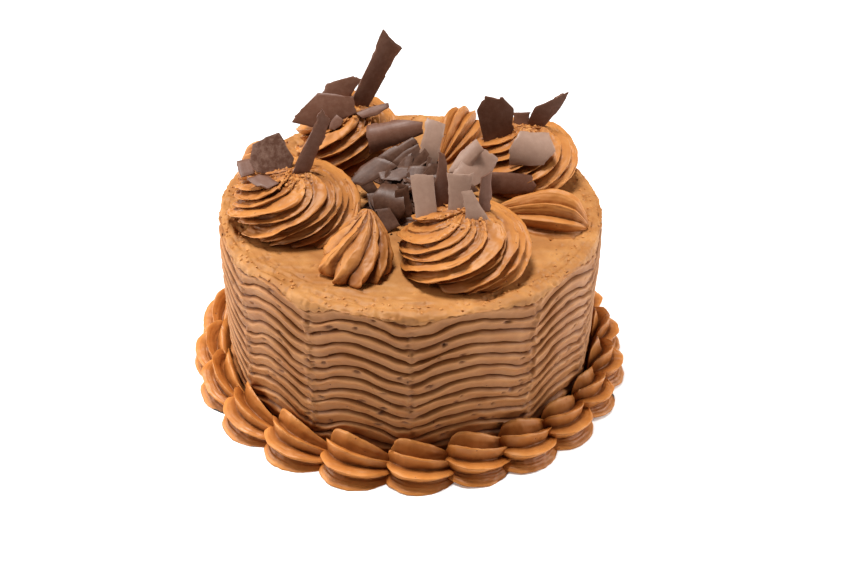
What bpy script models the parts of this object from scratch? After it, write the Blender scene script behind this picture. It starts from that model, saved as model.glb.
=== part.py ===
"""Whole chocolate buttercream cake with combed sides, piped trims and chocolate shards.

The cake is uncut, so its body is one solid. Round its foot runs a border of piped shells,
and on top stand four swirled rosettes, four small piped shells and broken curls and shards
of dark chocolate, with a heap of the smallest shards in the middle.

Lengths in this script are millimetres and angles are degrees, and the finished meshes are
scaled to metres. The origin is the centre of the underside, +Z is up, +X is to the
right and -Y is the front. A bearing is an angle round the cake seen from above, 0 at the
front and growing counter-clockwise, so that +90 is the right side.
"""

import math
import random
from typing import NamedTuple

import bmesh
import bpy
from mathutils import Matrix, Vector, noise
from mathutils.bvhtree import BVHTree

# Overall sizes

MM = 0.001
SEED = 8
GAP = 0.3
PIPED_GROWTH = 0.6
WELD_DISTANCE = 0.0005
END_GROWTH = 0.025
SHARP_ANGLE = 35.0

CAKE_HEIGHT = 94.0
FOOT_RADIUS = 94.5
BELLY_RADIUS = 98.0
BELLY_HEIGHT = 82.0
SHOULDER_RADIUS = 97.0

# Comb pattern on the side

BAND_COUNT = 13
BAND_CREST_AT = 0.72
COMBED_HEIGHT = 90.5
GROOVE_DEPTH = 1.9
WAVE_HALF_HEIGHT = 5.6
WAVE_CREST_AT = 0.42
TROUGH_BEARINGS = (-57.0, -29.5, 1.0, 38.8, 69.0, 101.0, 133.0, 166.0, 199.0, 231.0, 266.0)
WAVE_STATIONS = (0.0, 0.14, 0.36, 0.58, 0.8)
WAVE_FULL_FROM = 0.22
WAVE_FADES_FROM = 0.82
WAVE_LEFT_AT_LIP = 0.25
SIDE_UNEVENNESS = 0.5
UNEVEN_ROUND = 2.0
UNEVEN_UP = 3.0
FOOT_CHAMFER = 1.0

# Top edge, from the last band inwards: radius and height of each ring

LIP_RINGS = ((97.4, 91.8), (96.4, 93.4), (93.5, 94.0), (86.0, 93.6), (58.0, 94.0))

# Border of shells round the foot

SHOWN_SHELL_BEARINGS = (-84.5, -68.4, -50.9, -33.2, -14.8, 3.5, 19.9, 35.5, 51.5, 67.3, 82.0)
HIDDEN_SHELL_COUNT = 11
SHELL_HEAD_SPAN = 8.6
SHELL_TAIL_SPAN = 11.0
SHELL_CENTRE_RADIUS = 102.3
SHELL_HALF_WIDTH = 12.8
SHELL_HEIGHT = 23.0
SHELL_WIDTH_SPREAD = 0.04
SHELL_HEIGHT_SPREAD = 0.055
WALL_CLEARANCE = 0.9

# Profile of a piped shell from head to tail: place along it, and size of its section

SHELL_PROFILE = ((0.0, 0.46), (0.12, 0.88), (0.34, 1.0), (0.6, 0.84), (0.82, 0.56), (1.0, 0.26))
SHELL_GROOVE = 0.32
BORDER_RIMS = (0.0, 25.0, 61.0, 112.0)
BACK_REACH = 1.0
TAIL_INSET = 2.5
TOP_SHELL_RIMS = (0.0, 30.0, 60.0, 90.0, 120.0, 150.0, 180.0)

# Swirls: part of the height, part of the radius

ROSETTE_PROFILE = (
    (0.0, 0.86), (0.1, 0.94), (0.22, 0.99), (0.34, 1.0), (0.46, 0.97),
    (0.58, 0.91), (0.7, 0.82), (0.82, 0.68), (0.92, 0.48), (1.0, 0.24),
)
KISS_PROFILE = (
    (0.0, 0.88), (0.14, 0.98), (0.3, 0.99), (0.48, 0.88), (0.66, 0.68), (0.84, 0.42), (1.0, 0.12),
)
UNDERCUT_AT = 0.4
RIDGE_SPREAD = 0.12
SWELL_SPREAD = 0.04
GROOVE_AT_FOOT = 0.55
GROOVE_FULL_FROM = 0.3
GROOVE_LIMIT = 0.36
LEAN_POWER = 1.3
TIP_RISE = 0.6


class Swirl(NamedTuple):
    """A drop piped through a star nozzle that turns as it rises."""

    name: str
    centre: tuple
    radius: float
    height: float
    ridges: int
    twist: float
    groove: float
    lean: tuple = (0.0, 0.0)
    profile: tuple = ROSETTE_PROFILE


ROSETTES = (
    Swirl("rosette_front", (26.0, -50.0), 32.0, 28.5, 16, 145.0, 4.8),
    Swirl("rosette_left", (-58.0, -14.0), 32.0, 28.5, 16, 140.0, 4.8),
    Swirl("rosette_back", (-33.5, 51.0), 27.5, 33.0, 14, 140.0, 4.2),
    Swirl("rosette_right", (58.0, 34.0), 29.0, 28.0, 14, 145.0, 4.4),
)
KISS = Swirl(
    "top_shell_front", (-26.0, -61.5), 17.5, 24.5, 9, 58.0, 3.6, lean=(6.0, 18.0), profile=KISS_PROFILE,
)


class TopShell(NamedTuple):
    """A shell piped on the top, its head near the edge and its tail towards the middle."""

    name: str
    bearing: float
    head_radius: float
    tail_radius: float
    half_width: float
    height: float


TOP_SHELLS = (
    TopShell("top_shell_right", 78.0, 91.0, 42.0, 15.0, 19.0),
    TopShell("top_shell_back", 160.0, 90.0, 44.0, 13.0, 19.0),
    TopShell("top_shell_left", -106.0, 93.5, 50.0, 13.5, 25.0),
)


class Shard(NamedTuple):
    """A broken piece of thin chocolate, as a bent sheet.

    at is the middle of its lower end. yaw turns it about the vertical, lean tips its
    upper end backwards, and roll turns it in its own plane. widths are at the lower
    end, the waist and the upper end; slants raise the right corner over the left at
    both ends; waist is its place along the length and its shift to the right. bend is
    the angle that the sheet turns through across its width and along its length.
    """

    name: str
    at: tuple
    yaw: float
    lean: float
    roll: float
    length: float
    widths: tuple
    slants: tuple = (0.0, 0.0)
    waist: tuple = (0.5, 0.0)
    bend: tuple = (0.0, 0.0)
    thickness: float = 1.4


EDGE_SPREAD = 0.6
FLAT_BEND = 1.0
FOUR_COLUMNS_FROM = 60.0

SHARDS = (
    Shard("shard_left_plate", (-69, -14, 119), -8, 32, -14, 19, (15, 22, 14), (-7, 4), (0.42, 2), (25, 0)),
    Shard("shard_left_stick", (-57, -17, 117), 10, 4, 25, 39, (8, 8, 6.5), (4, -5), (0.6, 0), (30, 0)),
    Shard("shard_left_flat", (-67, -27, 122.5), 0, 72, -58, 12, (6, 8, 5), (-3, -3), (0.5, 0)),
    Shard("shard_left_side", (-82, -8, 117), 15, 66, -4, 9, (7, 9, 7), (1, 0), (0.45, 0)),
    Shard("shard_back_stick", (-31, 46, 119), 6, 0, 25.5, 49, (9.5, 10.5, 13), (3, -5), (0.5, -0.5), (55, 0)),
    Shard("shard_back_point", (-30, 40, 130), -4, 30, -105, 32, (9, 19, 3), (1, -3), (0.55, 1), (28, 18)),
    Shard("shard_back_plate", (-43, 52, 124), -6, 25, 45, 20, (11, 14, 4), (4, 2), (0.35, -2), (20, 0)),
    Shard("shard_back_low", (-27, 38, 125), 4, 58, 70, 16, (4.5, 6, 3), (3, -1), (0.5, 0), (35, 0)),
    Shard("shard_back_bit", (-42, 31, 122), 0, 45, 32, 8, (3, 5, 3), (2, 0), (0.5, 0)),
    Shard("shard_back_curl", (-18, 23, 120), -5, 32, 75, 27, (17, 14, 5), (-2, 0), (0.5, -1), (110, 0)),
    Shard("shard_right_plate", (45.5, 29, 112), -5, 2, -8, 29, (13, 18, 8), (3, -2), (0.74, 0), (18, 0)),
    Shard("shard_right_point", (62, 36, 117), 5, 0, 37, 28, (7, 11, 1.6), (5, 1), (0.5, -2.5), (20, 15)),
    Shard("shard_right_curl", (58, 5, 116.5), 8, 38, 18, 18, (17, 23, 16), (6, 4), (0.45, 1), (0, 75)),
    Shard("shard_right_bit", (56.5, 34, 117), 0, 28, 2, 12, (6, 8, 9), (2, 1), (0.5, 0), (15, 0)),
    Shard("shard_right_low", (49, 2, 101), 4, 22, 6, 10, (24, 27, 23), (2, -1), (0.5, 1), (0, 40)),
    Shard("shard_front_plate", (8.5, -48, 116), -6, 28, -9, 22, (11.5, 11, 11), (0, -1), (0.5, 0), (12, 0)),
    Shard("shard_front_point", (16.5, -41, 115), 4, 12, -2, 31, (6, 8, 2.4), (0, -1), (0.45, 0), (30, 12)),
    Shard("shard_front_wide", (23.5, -50, 117), 3, 26, 2, 23, (10.5, 9, 14), (-1, 0), (0.5, 0), (15, 0)),
    Shard("shard_front_tail", (33.5, -57, 119), 6, 24, -20, 18, (12, 6.5, 4), (-4, -1), (0.55, 0), (20, 10)),
    Shard("shard_front_upright", (36, -48, 119), 30, 2, 3, 22, (5, 6, 5), (0, 2), (0.5, 0), (25, 0)),
    Shard("shard_middle_long", (6, 4, 107), 6, 30, 16, 31, (8.5, 10, 10.5), (2, -2), (0.55, 0), (25, 50)),
    Shard("shard_middle_fold", (21, -1, 114), -30, 30, 30, 20, (6, 10, 7), (2, -1), (0.5, -1), (70, 0)),
    Shard("shard_middle_wide", (26, -7, 113), 12, 38, 44, 20, (12, 18, 15), (2, 1), (0.5, 1.5), (65, 0)),
    Shard("shard_middle_curl", (-13, -21, 97), -8, 42, 6, 22, (9, 18, 11), (-5, 0), (0.45, 0.5), (0, 110)),
    Shard("shard_middle_plate", (-28, -3, 108), -10, 52, 44, 20, (6, 11, 10), (6, 5), (0.55, -1), (22, 0)),
    Shard("shard_middle_stick", (-13, 9, 116), 0, 44, 56, 18, (6, 5.5, 4.5), (4, 1), (0.5, 0), (40, 0)),
)

# Slab inside the body that trims what would sink into the top

SLAB_FOOT = 40.0
SLAB_SEGMENTS = 36

# Heap of the smallest shards in the middle: a low mound, with small sheets fused to it

HEAP_CENTRE = (1.0, -1.0)
HEAP_RADII = (23.0, 16.0)
HEAP_HEIGHT = 15.0
HEAP_SEGMENTS = 14
HEAP_LUMPS = 0.09
HEAP_PROFILE = ((0.0, 1.0), (0.5, 0.8), (1.0, 0.35))
HEAP_SHARDS = (
    Shard("sheet_1", (-5, 2, 104), 0, 45, 50, 20, (6, 5.5, 3), (1, 2)),
    Shard("sheet_2", (2, -3, 104), 8, 42, 29, 18, (4.5, 4.5, 3), (-2, -1), bend=(40, 0)),
    Shard("sheet_3", (-15, -9, 107), -6, 60, 78, 19, (3, 6.5, 3), (1, 0)),
    Shard("sheet_4", (-10, -3, 108), 12, 52, 60, 11, (4, 6, 4), (1, 0)),
    Shard("sheet_5", (-3, -15, 95), -12, 22, -7, 18, (6, 6, 6), (-1, -1)),
    Shard("sheet_6", (-14, -14, 96), 10, 55, -20, 14, (6, 7, 4), (-3, -1)),
    Shard("sheet_7", (16, 7, 98), 30, 35, -30, 18, (8, 9, 5), (2, 1), bend=(40, 0)),
    Shard("sheet_8", (10, -12, 97), -25, 35, 15, 16, (7, 8, 5), (1, 2)),
    Shard("sheet_9", (-18, 6, 97), 35, 50, -15, 15, (6, 8, 5), (2, 0)),
)

FROSTING = ("frosting", (0.42, 0.19, 0.075), 0.55)
CHOCOLATE = ("dark chocolate", (0.085, 0.045, 0.032), 0.35)


# Scene and mesh helpers

def clear_scene():
    """Removes every object that the file starts with."""
    for thing in list(bpy.data.objects):
        bpy.data.objects.remove(thing, do_unlink=True)


def make_material(name, colour, roughness):
    """Returns a plain Principled material of a linear colour."""
    material = bpy.data.materials.new(name)
    material.use_nodes = True
    shader = material.node_tree.nodes["Principled BSDF"]
    shader.inputs["Base Color"].default_value = (*colour, 1.0)
    shader.inputs["Roughness"].default_value = roughness
    shader.inputs["Metallic"].default_value = 0.0
    material.diffuse_color = (*colour, 1.0)
    return material


def link_rings(name, rings, material, start_tip=None, end_tip=None):
    """Skins closed rings of equal length into one solid object.

    Args:
        name: The object's name.
        rings: Rings of points in millimetres, in order along the solid.
        material: The solid's material.
        start_tip: A point that closes the first ring, or None for a flat cap.
        end_tip: A point that closes the last ring, or None for a flat cap.

    Returns:
        The new object.
    """
    solid = bmesh.new()
    loops = [[solid.verts.new(Vector(point)) for point in ring] for ring in rings]
    count = len(loops[0])
    for lower, upper in zip(loops, loops[1:]):
        for i in range(count):
            j = (i + 1) % count
            solid.faces.new((lower[i], lower[j], upper[i]))
            solid.faces.new((lower[j], upper[j], upper[i]))
    for ring, tip in ((loops[0], start_tip), (loops[-1], end_tip)):
        if tip is None:
            solid.faces.new(ring)
            continue
        apex = solid.verts.new(Vector(tip))
        for i in range(count):
            solid.faces.new((ring[i], ring[(i + 1) % count], apex))
    return link_solid(name, solid, material)


def link_solid(name, solid, material):
    """Turns a closed bmesh into an object with triangles that face outwards."""
    solid.normal_update()
    bmesh.ops.triangulate(solid, faces=solid.faces[:])
    bmesh.ops.recalc_face_normals(solid, faces=solid.faces[:])
    mesh = bpy.data.meshes.new(name)
    solid.to_mesh(mesh)
    solid.free()
    mesh.materials.append(material)
    mesh.shade_smooth()
    mesh.set_sharp_from_angle(angle=math.radians(SHARP_ANGLE))
    thing = bpy.data.objects.new(name, mesh)
    bpy.context.scene.collection.objects.link(thing)
    return thing


def surfaces_cross(first, second):
    """Tells whether the surfaces of two objects meet."""
    trees = []
    for thing in (first, second):
        solid = bmesh.new()
        solid.from_mesh(thing.data)
        trees.append(BVHTree.FromBMesh(solid))
        solid.free()
    return bool(trees[0].overlap(trees[1]))


def apply_modifiers(thing):
    """Replaces an object's mesh with the one its modifiers give."""
    depsgraph = bpy.context.evaluated_depsgraph_get()
    depsgraph.update()
    mesh = bpy.data.meshes.new_from_object(thing.evaluated_get(depsgraph))
    thing.modifiers.clear()
    spent = thing.data
    thing.data = mesh
    bpy.data.meshes.remove(spent)


def discard(thing):
    """Removes an object and its mesh."""
    mesh = thing.data
    bpy.data.objects.remove(thing, do_unlink=True)
    bpy.data.meshes.remove(mesh)


def keep_largest_piece(thing):
    """Drops the loose scraps that a cut leaves, and welds its shortest edges."""
    solid = bmesh.new()
    solid.from_mesh(thing.data)
    bmesh.ops.triangulate(solid, faces=solid.faces[:])
    bmesh.ops.remove_doubles(solid, verts=solid.verts[:], dist=WELD_DISTANCE)
    waiting = set(solid.verts)
    pieces = []
    while waiting:
        piece = set()
        front = [waiting.pop()]
        while front:
            vert = front.pop()
            piece.add(vert)
            for edge in vert.link_edges:
                other = edge.other_vert(vert)
                if other in waiting:
                    waiting.remove(other)
                    front.append(other)
        pieces.append(piece)
    pieces.sort(key=spread)
    for piece in pieces[:-1]:
        bmesh.ops.delete(solid, geom=list(piece), context="VERTS")
    bmesh.ops.triangulate(solid, faces=solid.faces[:])
    solid.to_mesh(thing.data)
    solid.free()


def spread(piece):
    """Returns the size of the box round a set of vertices, to compare pieces by."""
    size = 1.0
    for axis in range(3):
        places = [vert.co[axis] for vert in piece]
        size *= max(places) - min(places) + WELD_DISTANCE
    return size


def carve(target, cutters):
    """Cuts a target back by each larger copy of a neighbour that its surface meets."""
    for cutter in cutters:
        if not surfaces_cross(target, cutter):
            continue
        cut = target.modifiers.new("cut", "BOOLEAN")
        cut.operation = "DIFFERENCE"
        cut.object = cutter
        apply_modifiers(target)
        keep_largest_piece(target)


def own_random(name):
    """Returns a random source that is the same for a piece and its larger copy."""
    return random.Random(f"{SEED} {name}")


def blend(rows, place):
    """Reads a value from rows of (place, value) by straight lines between them."""
    for (start, first), (end, second) in zip(rows, rows[1:]):
        if place <= end:
            return first + (second - first) * (place - start) / (end - start)
    return rows[-1][1]


def smooth_step(start, end, value):
    """Rises smoothly from 0 at start to 1 at end."""
    part = min(max((value - start) / (end - start), 0.0), 1.0)
    return part * part * (3.0 - 2.0 * part)


def polar(bearing, radius, height):
    """Returns the point at a bearing from the front, a radius and a height."""
    turn = math.radians(bearing)
    return Vector((radius * math.sin(turn), -radius * math.cos(turn), height))


# Body

def wall_radius(height):
    """Radius of the side at a height, over the comb's ridges."""
    rows = ((0.0, FOOT_RADIUS), (BELLY_HEIGHT, BELLY_RADIUS), (CAKE_HEIGHT, SHOULDER_RADIUS))
    return blend(rows, height)


def next_trough(index):
    """Bearing of the trough after the one at an index, going on past a full turn."""
    if index + 1 < len(TROUGH_BEARINGS):
        return TROUGH_BEARINGS[index + 1]
    return TROUGH_BEARINGS[0] + 360.0


def wave_height(bearing):
    """Height of the comb's wave: -1 in the sharp troughs and +1 on the round crests."""
    for i, start in enumerate(TROUGH_BEARINGS):
        end = next_trough(i)
        part = ((bearing - start) % 360.0) / (end - start)
        if part < 1.0:
            break
    if part < WAVE_CREST_AT:
        return 2.0 * math.sin(0.5 * math.pi * part / WAVE_CREST_AT) - 1.0
    return 2.0 * math.cos(0.5 * math.pi * (part - WAVE_CREST_AT) / (1.0 - WAVE_CREST_AT)) - 1.0


def side_point(bearing, level, depth):
    """Point of the combed side; level runs from 0 at the foot to 1 under the lip."""
    fade = (1.0 - WAVE_LEFT_AT_LIP) * smooth_step(WAVE_FADES_FROM, 1.0, level)
    strength = smooth_step(0.0, WAVE_FULL_FROM, level) * (1.0 - fade)
    height = COMBED_HEIGHT * level + WAVE_HALF_HEIGHT * strength * wave_height(bearing)
    place = polar(bearing, UNEVEN_ROUND, UNEVEN_UP * level)
    radius = wall_radius(height) - depth + SIDE_UNEVENNESS * noise.noise(place)
    return polar(bearing, radius, height)


def body_bearings():
    """Bearings of the body's stations: a few on each wave, one in each trough."""
    bearings = []
    for i, start in enumerate(TROUGH_BEARINGS):
        end = next_trough(i)
        bearings += [start + (end - start) * part for part in WAVE_STATIONS]
    return bearings


def make_body(material):
    """The frosted cake: flat underside, combed side, rough lip and flat top."""
    bearings = body_bearings()
    rings = [[polar(bearing, FOOT_RADIUS - FOOT_CHAMFER, 0.0) for bearing in bearings]]
    for band in range(BAND_COUNT):
        if band:
            rings.append([side_point(bearing, band / BAND_COUNT, GROOVE_DEPTH) for bearing in bearings])
        level = (band + BAND_CREST_AT) / BAND_COUNT
        rings.append([side_point(bearing, level, 0.0) for bearing in bearings])
    for radius, height in LIP_RINGS:
        rings.append([polar(bearing, radius, height) for bearing in bearings])
    return link_rings("cake_body", rings, material, end_tip=(0.0, 0.0, CAKE_HEIGHT))


# Piped shells

def fan_section(half_width, height, rims, grow):
    """Outline of a piped shell across its length: fins over a flat foot.

    The fins' rims stand at angles from the foot's outer side. The last is at 180 on a
    shell with two free sides, and at less on one whose back stands against a wall.
    """
    stops = [(rims[0], 1.0)]
    for angle, following in zip(rims, rims[1:]):
        stops.append((0.5 * (angle + following), 1.0 - SHELL_GROOVE))
        stops.append((following, 1.0))
    points = []
    for angle, reach in stops:
        turn = math.radians(angle)
        across = (half_width * reach + grow) * math.cos(turn)
        up = (height * reach + grow) * math.sin(turn)
        points.append((across, up))
    points[0] = (points[0][0], -grow)
    if rims[-1] < 180.0:
        points.append((-BACK_REACH * half_width - grow, -grow))
    else:
        points[-1] = (points[-1][0], -grow)
    return points


def shell_rings(place_at, section, grow):
    """Rings of a piped shell.

    Args:
        place_at: Gives the middle of the foot and the outward side at a part of the length.
        section: Gives the outline at a size between 0 and 1.
        grow: How much larger a cutter's copy is than the shell.
    """
    rings = []
    for part, size in SHELL_PROFILE:
        origin, outward = place_at(part + END_GROWTH * grow * (2.0 * part - 1.0))
        ring = []
        for across, up in section(size):
            ring.append(origin + outward * across + Vector((0.0, 0.0, up)))
        rings.append(ring)
    return rings


def border_bearings():
    """Bearings of all the border's shells, the hidden ones spaced evenly."""
    last = SHOWN_SHELL_BEARINGS[-1]
    step = (SHOWN_SHELL_BEARINGS[0] + 360.0 - last) / (HIDDEN_SHELL_COUNT + 1)
    return SHOWN_SHELL_BEARINGS + tuple(last + step * (i + 1) for i in range(HIDDEN_SHELL_COUNT))


def press_to_wall(point, grow):
    """Moves a point that would enter the side out to stand just clear of it."""
    radius = math.hypot(point.x, point.y)
    least = wall_radius(max(point.z, 0.0)) + WALL_CLEARANCE - 2.0 * grow
    if radius < least:
        point.x *= least / radius
        point.y *= least / radius
    return point


def make_border_shell(name, middle, material, grow=0.0):
    """One shell of the border, its back pressed flat against the side."""
    source = own_random(name)
    half_width = SHELL_HALF_WIDTH * (1.0 + source.uniform(-1.0, 1.0) * SHELL_WIDTH_SPREAD)
    height = SHELL_HEIGHT * (1.0 + source.uniform(-1.0, 1.0) * SHELL_HEIGHT_SPREAD)

    def place_at(part):
        turn = middle - SHELL_HEAD_SPAN + (SHELL_HEAD_SPAN + SHELL_TAIL_SPAN) * part
        outward = polar(turn, 1.0, 0.0)
        return outward * (SHELL_CENTRE_RADIUS - TAIL_INSET * part), outward

    def section(size):
        return fan_section(half_width * size, height * size, BORDER_RIMS, grow)

    rings = shell_rings(place_at, section, grow)
    rings = [[press_to_wall(point, grow) for point in ring] for ring in rings]
    return link_rings(name, rings, material)


def make_border(material):
    """The shells round the foot; each one's tail is cut by the head of the next."""
    bearings = border_bearings()
    names = [f"border_shell_{i + 1:02d}" for i in range(len(bearings))]
    for i, (name, bearing) in enumerate(zip(names, bearings)):
        following = (i + 1) % len(names)
        shell = make_border_shell(name, bearing, material)
        cutter = make_border_shell(names[following], bearings[following], material, PIPED_GROWTH)
        carve(shell, [cutter])
        discard(cutter)


def make_top_shell(shell, material, grow=0.0):
    """A shell that lies on the top with its head near the edge."""
    inward = -polar(shell.bearing, 1.0, 0.0)
    across = Vector((-inward.y, inward.x, 0.0))
    start = polar(shell.bearing, shell.head_radius, CAKE_HEIGHT + GAP)

    def place_at(part):
        return start + inward * ((shell.head_radius - shell.tail_radius) * part), across

    def section(size):
        return fan_section(shell.half_width * size, shell.height * size, TOP_SHELL_RIMS, grow)

    return link_rings(shell.name, shell_rings(place_at, section, grow), material)


# Swirls

def make_swirl(swirl, material, grow=0.0):
    """A twisted drop: rounded ridges that climb counter-clockwise over deep grooves."""
    source = own_random(swirl.name)
    pitch = 360.0 / swirl.ridges
    starts = [pitch * (i + source.uniform(-RIDGE_SPREAD, RIDGE_SPREAD)) for i in range(swirl.ridges)]
    swells = [source.uniform(-SWELL_SPREAD, SWELL_SPREAD) for _ in range(swirl.ridges)]
    foot = CAKE_HEIGHT + GAP
    rings = []
    for level, reach in swirl.profile:
        radius = swirl.radius * reach
        depth = GROOVE_AT_FOOT + (1.0 - GROOVE_AT_FOOT) * smooth_step(0.0, GROOVE_FULL_FROM, level)
        groove = min(swirl.groove * depth, GROOVE_LIMIT * radius)
        middle = Vector((*swirl.centre, foot + swirl.height * level))
        middle += Vector((*swirl.lean, 0.0)) * level ** LEAN_POWER
        ring = []
        for start, swell in zip(starts, swells):
            bearing = start + swirl.twist * level
            ring.append(middle + polar(bearing, radius * (1.0 + swell) + grow, 0.0))
            ring.append(middle + polar(bearing + UNDERCUT_AT * pitch, radius - groove + grow, 0.0))
        rings.append(ring)
    top = Vector((*swirl.centre, foot + swirl.height)) + Vector((*swirl.lean, TIP_RISE + grow))
    if grow:
        rings.insert(0, [point - Vector((0.0, 0.0, grow)) for point in rings[0]])
        rings.append([point + Vector((0.0, 0.0, grow)) for point in rings[-1]])
    return link_rings(swirl.name, rings, material, end_tip=top)


# Chocolate

def arc_offset(distance, extent, angle):
    """Bends a straight distance onto an arc; returns the distance and the drop."""
    if abs(angle) < FLAT_BEND:
        return distance, 0.0
    radius = extent / math.radians(angle)
    turn = distance / radius
    return radius * math.sin(turn), radius * (1.0 - math.cos(turn))


def shard_surface(shard, along, across):
    """Point and normal axis of a shard's middle sheet; both parts run from 0 to 1."""
    base, middle, tip = shard.widths
    waist_at, waist_shift = shard.waist
    width = blend(((0.0, base), (waist_at, middle), (1.0, tip)), along)
    shift = blend(((0.0, 0.0), (waist_at, waist_shift), (1.0, 0.0)), along)
    slant = blend(((0.0, shard.slants[0]), (1.0, shard.slants[1])), along)
    sideways = shift + width * (across - 0.5)
    forward = shard.length * along + slant * (across - 0.5)
    sideways, drop_across = arc_offset(sideways, max(shard.widths), shard.bend[0])
    forward_middle = forward - 0.5 * shard.length
    forward_middle, drop_along = arc_offset(forward_middle, shard.length, shard.bend[1])
    return Vector((sideways, drop_across + drop_along, forward_middle + 0.5 * shard.length))


def shard_rows(shard):
    """Places along a shard where its sheet has a row of points."""
    if shard.bend[1]:
        return (0.0, 0.25, 0.5, 0.75, 1.0)
    return (0.0, shard.waist[0], 1.0)


def make_shard(shard, material, grow=0.0):
    """A bent sheet of chocolate with an uneven outline."""
    source = own_random(shard.name)
    shard = shard._replace(
        length=shard.length + 2.0 * grow,
        widths=tuple(width + 2.0 * grow for width in shard.widths),
        thickness=shard.thickness + 2.0 * grow,
    )
    places = shard_rows(shard)
    rows = len(places)
    columns = 3 if shard.bend[0] < FOUR_COLUMNS_FROM else 4
    middle = []
    for place in places:
        row = [shard_surface(shard, place, j / (columns - 1)) for j in range(columns)]
        row[0].x -= source.uniform(0.0, EDGE_SPREAD)
        row[-1].x += source.uniform(0.0, EDGE_SPREAD)
        middle.append([point - Vector((0.0, 0.0, grow)) for point in row])
    turn = Matrix.Rotation(math.radians(shard.yaw), 3, "Z")
    turn = turn @ Matrix.Rotation(math.radians(-shard.lean), 3, "X")
    turn = turn @ Matrix.Rotation(math.radians(shard.roll), 3, "Y")
    solid = bmesh.new()
    sheets = []
    for side in (-0.5, 0.5):
        sheet = []
        for i in range(rows):
            line = []
            for j in range(columns):
                up = middle[min(i + 1, rows - 1)][j] - middle[max(i - 1, 0)][j]
                right = middle[i][min(j + 1, columns - 1)] - middle[i][max(j - 1, 0)]
                normal = up.cross(right).normalized()
                point = turn @ (middle[i][j] - normal * side * shard.thickness) + Vector(shard.at)
                line.append(solid.verts.new(point))
            sheet.append(line)
        sheets.append(sheet)
        for i in range(rows - 1):
            for j in range(columns - 1):
                solid.faces.new((sheet[i][j], sheet[i][j + 1], sheet[i + 1][j + 1], sheet[i + 1][j]))
    front, back = sheets
    rim = [(0, j) for j in range(columns)] + [(i, columns - 1) for i in range(1, rows)]
    rim += [(rows - 1, j) for j in range(columns - 2, -1, -1)] + [(i, 0) for i in range(rows - 2, 0, -1)]
    for (i, j), (k, m) in zip(rim, rim[1:] + rim[:1]):
        solid.faces.new((front[i][j], front[k][m], back[k][m], back[i][j]))
    return link_solid(shard.name, solid, material)


def make_heap(material):
    """The mound of small shards: a lumpy core with the sheets that show fused on."""
    source = own_random("shard_heap")
    rings = []
    for level, reach in HEAP_PROFILE:
        ring = []
        for i in range(HEAP_SEGMENTS):
            turn = 2.0 * math.pi * i / HEAP_SEGMENTS
            lump = 1.0 + source.uniform(-HEAP_LUMPS, HEAP_LUMPS)
            x = HEAP_CENTRE[0] + HEAP_RADII[0] * reach * lump * math.cos(turn)
            y = HEAP_CENTRE[1] + HEAP_RADII[1] * reach * lump * math.sin(turn)
            ring.append((x, y, CAKE_HEIGHT + GAP + HEAP_HEIGHT * level))
        rings.append(ring)
    heap = link_rings("shard_heap", rings, material)
    pieces = bpy.data.collections.new("heap pieces")
    bpy.context.scene.collection.children.link(pieces)
    for shard in HEAP_SHARDS:
        sheet = make_shard(shard, material)
        bpy.context.scene.collection.objects.unlink(sheet)
        pieces.objects.link(sheet)
    join = heap.modifiers.new("join", "BOOLEAN")
    join.operation = "UNION"
    join.operand_type = "COLLECTION"
    join.collection = pieces
    apply_modifiers(heap)
    for sheet in list(pieces.objects):
        discard(sheet)
    bpy.data.collections.remove(pieces)
    keep_largest_piece(heap)
    return heap


def make_top_cutter(material):
    """A slab that fills the cake's top, to trim what would sink into it."""
    rings = []
    for height in (SLAB_FOOT, CAKE_HEIGHT + GAP):
        ring = []
        for i in range(SLAB_SEGMENTS):
            ring.append(polar(360.0 * i / SLAB_SEGMENTS, SHOULDER_RADIUS, height))
        rings.append(ring)
    return link_rings("top_cutter", rings, material)


def build_cake():
    """Builds the whole cake, one object for each separate piece."""
    clear_scene()
    frosting = make_material(*FROSTING)
    chocolate = make_material(*CHOCOLATE)
    make_body(frosting)
    make_border(frosting)
    cutters = [make_top_cutter(chocolate)]
    for swirl in ROSETTES + (KISS,):
        make_swirl(swirl, frosting)
        cutters.append(make_swirl(swirl, frosting, PIPED_GROWTH))
    for shell in TOP_SHELLS:
        carve(make_top_shell(shell, frosting), cutters[1:])
        cutters.append(make_top_shell(shell, frosting, PIPED_GROWTH))
    for shard in SHARDS:
        carve(make_shard(shard, chocolate), cutters)
        cutters.append(make_shard(shard, chocolate, GAP))
    carve(make_heap(chocolate), cutters)
    for cutter in cutters:
        discard(cutter)
    for thing in bpy.context.scene.objects:
        thing.data.transform(Matrix.Scale(MM, 4))


build_cake()
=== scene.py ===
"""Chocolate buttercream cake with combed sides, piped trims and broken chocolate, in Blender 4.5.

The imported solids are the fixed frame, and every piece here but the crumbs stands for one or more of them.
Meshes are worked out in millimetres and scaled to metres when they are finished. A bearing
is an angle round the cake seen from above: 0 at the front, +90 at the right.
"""

import logging
import math
import random
from dataclasses import dataclass, field, replace
from enum import Enum
from itertools import product
from typing import Optional, Sequence

import bmesh
import bpy
import numpy as np
from mathutils import Matrix, Vector
from mathutils.bvhtree import BVHTree


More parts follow.
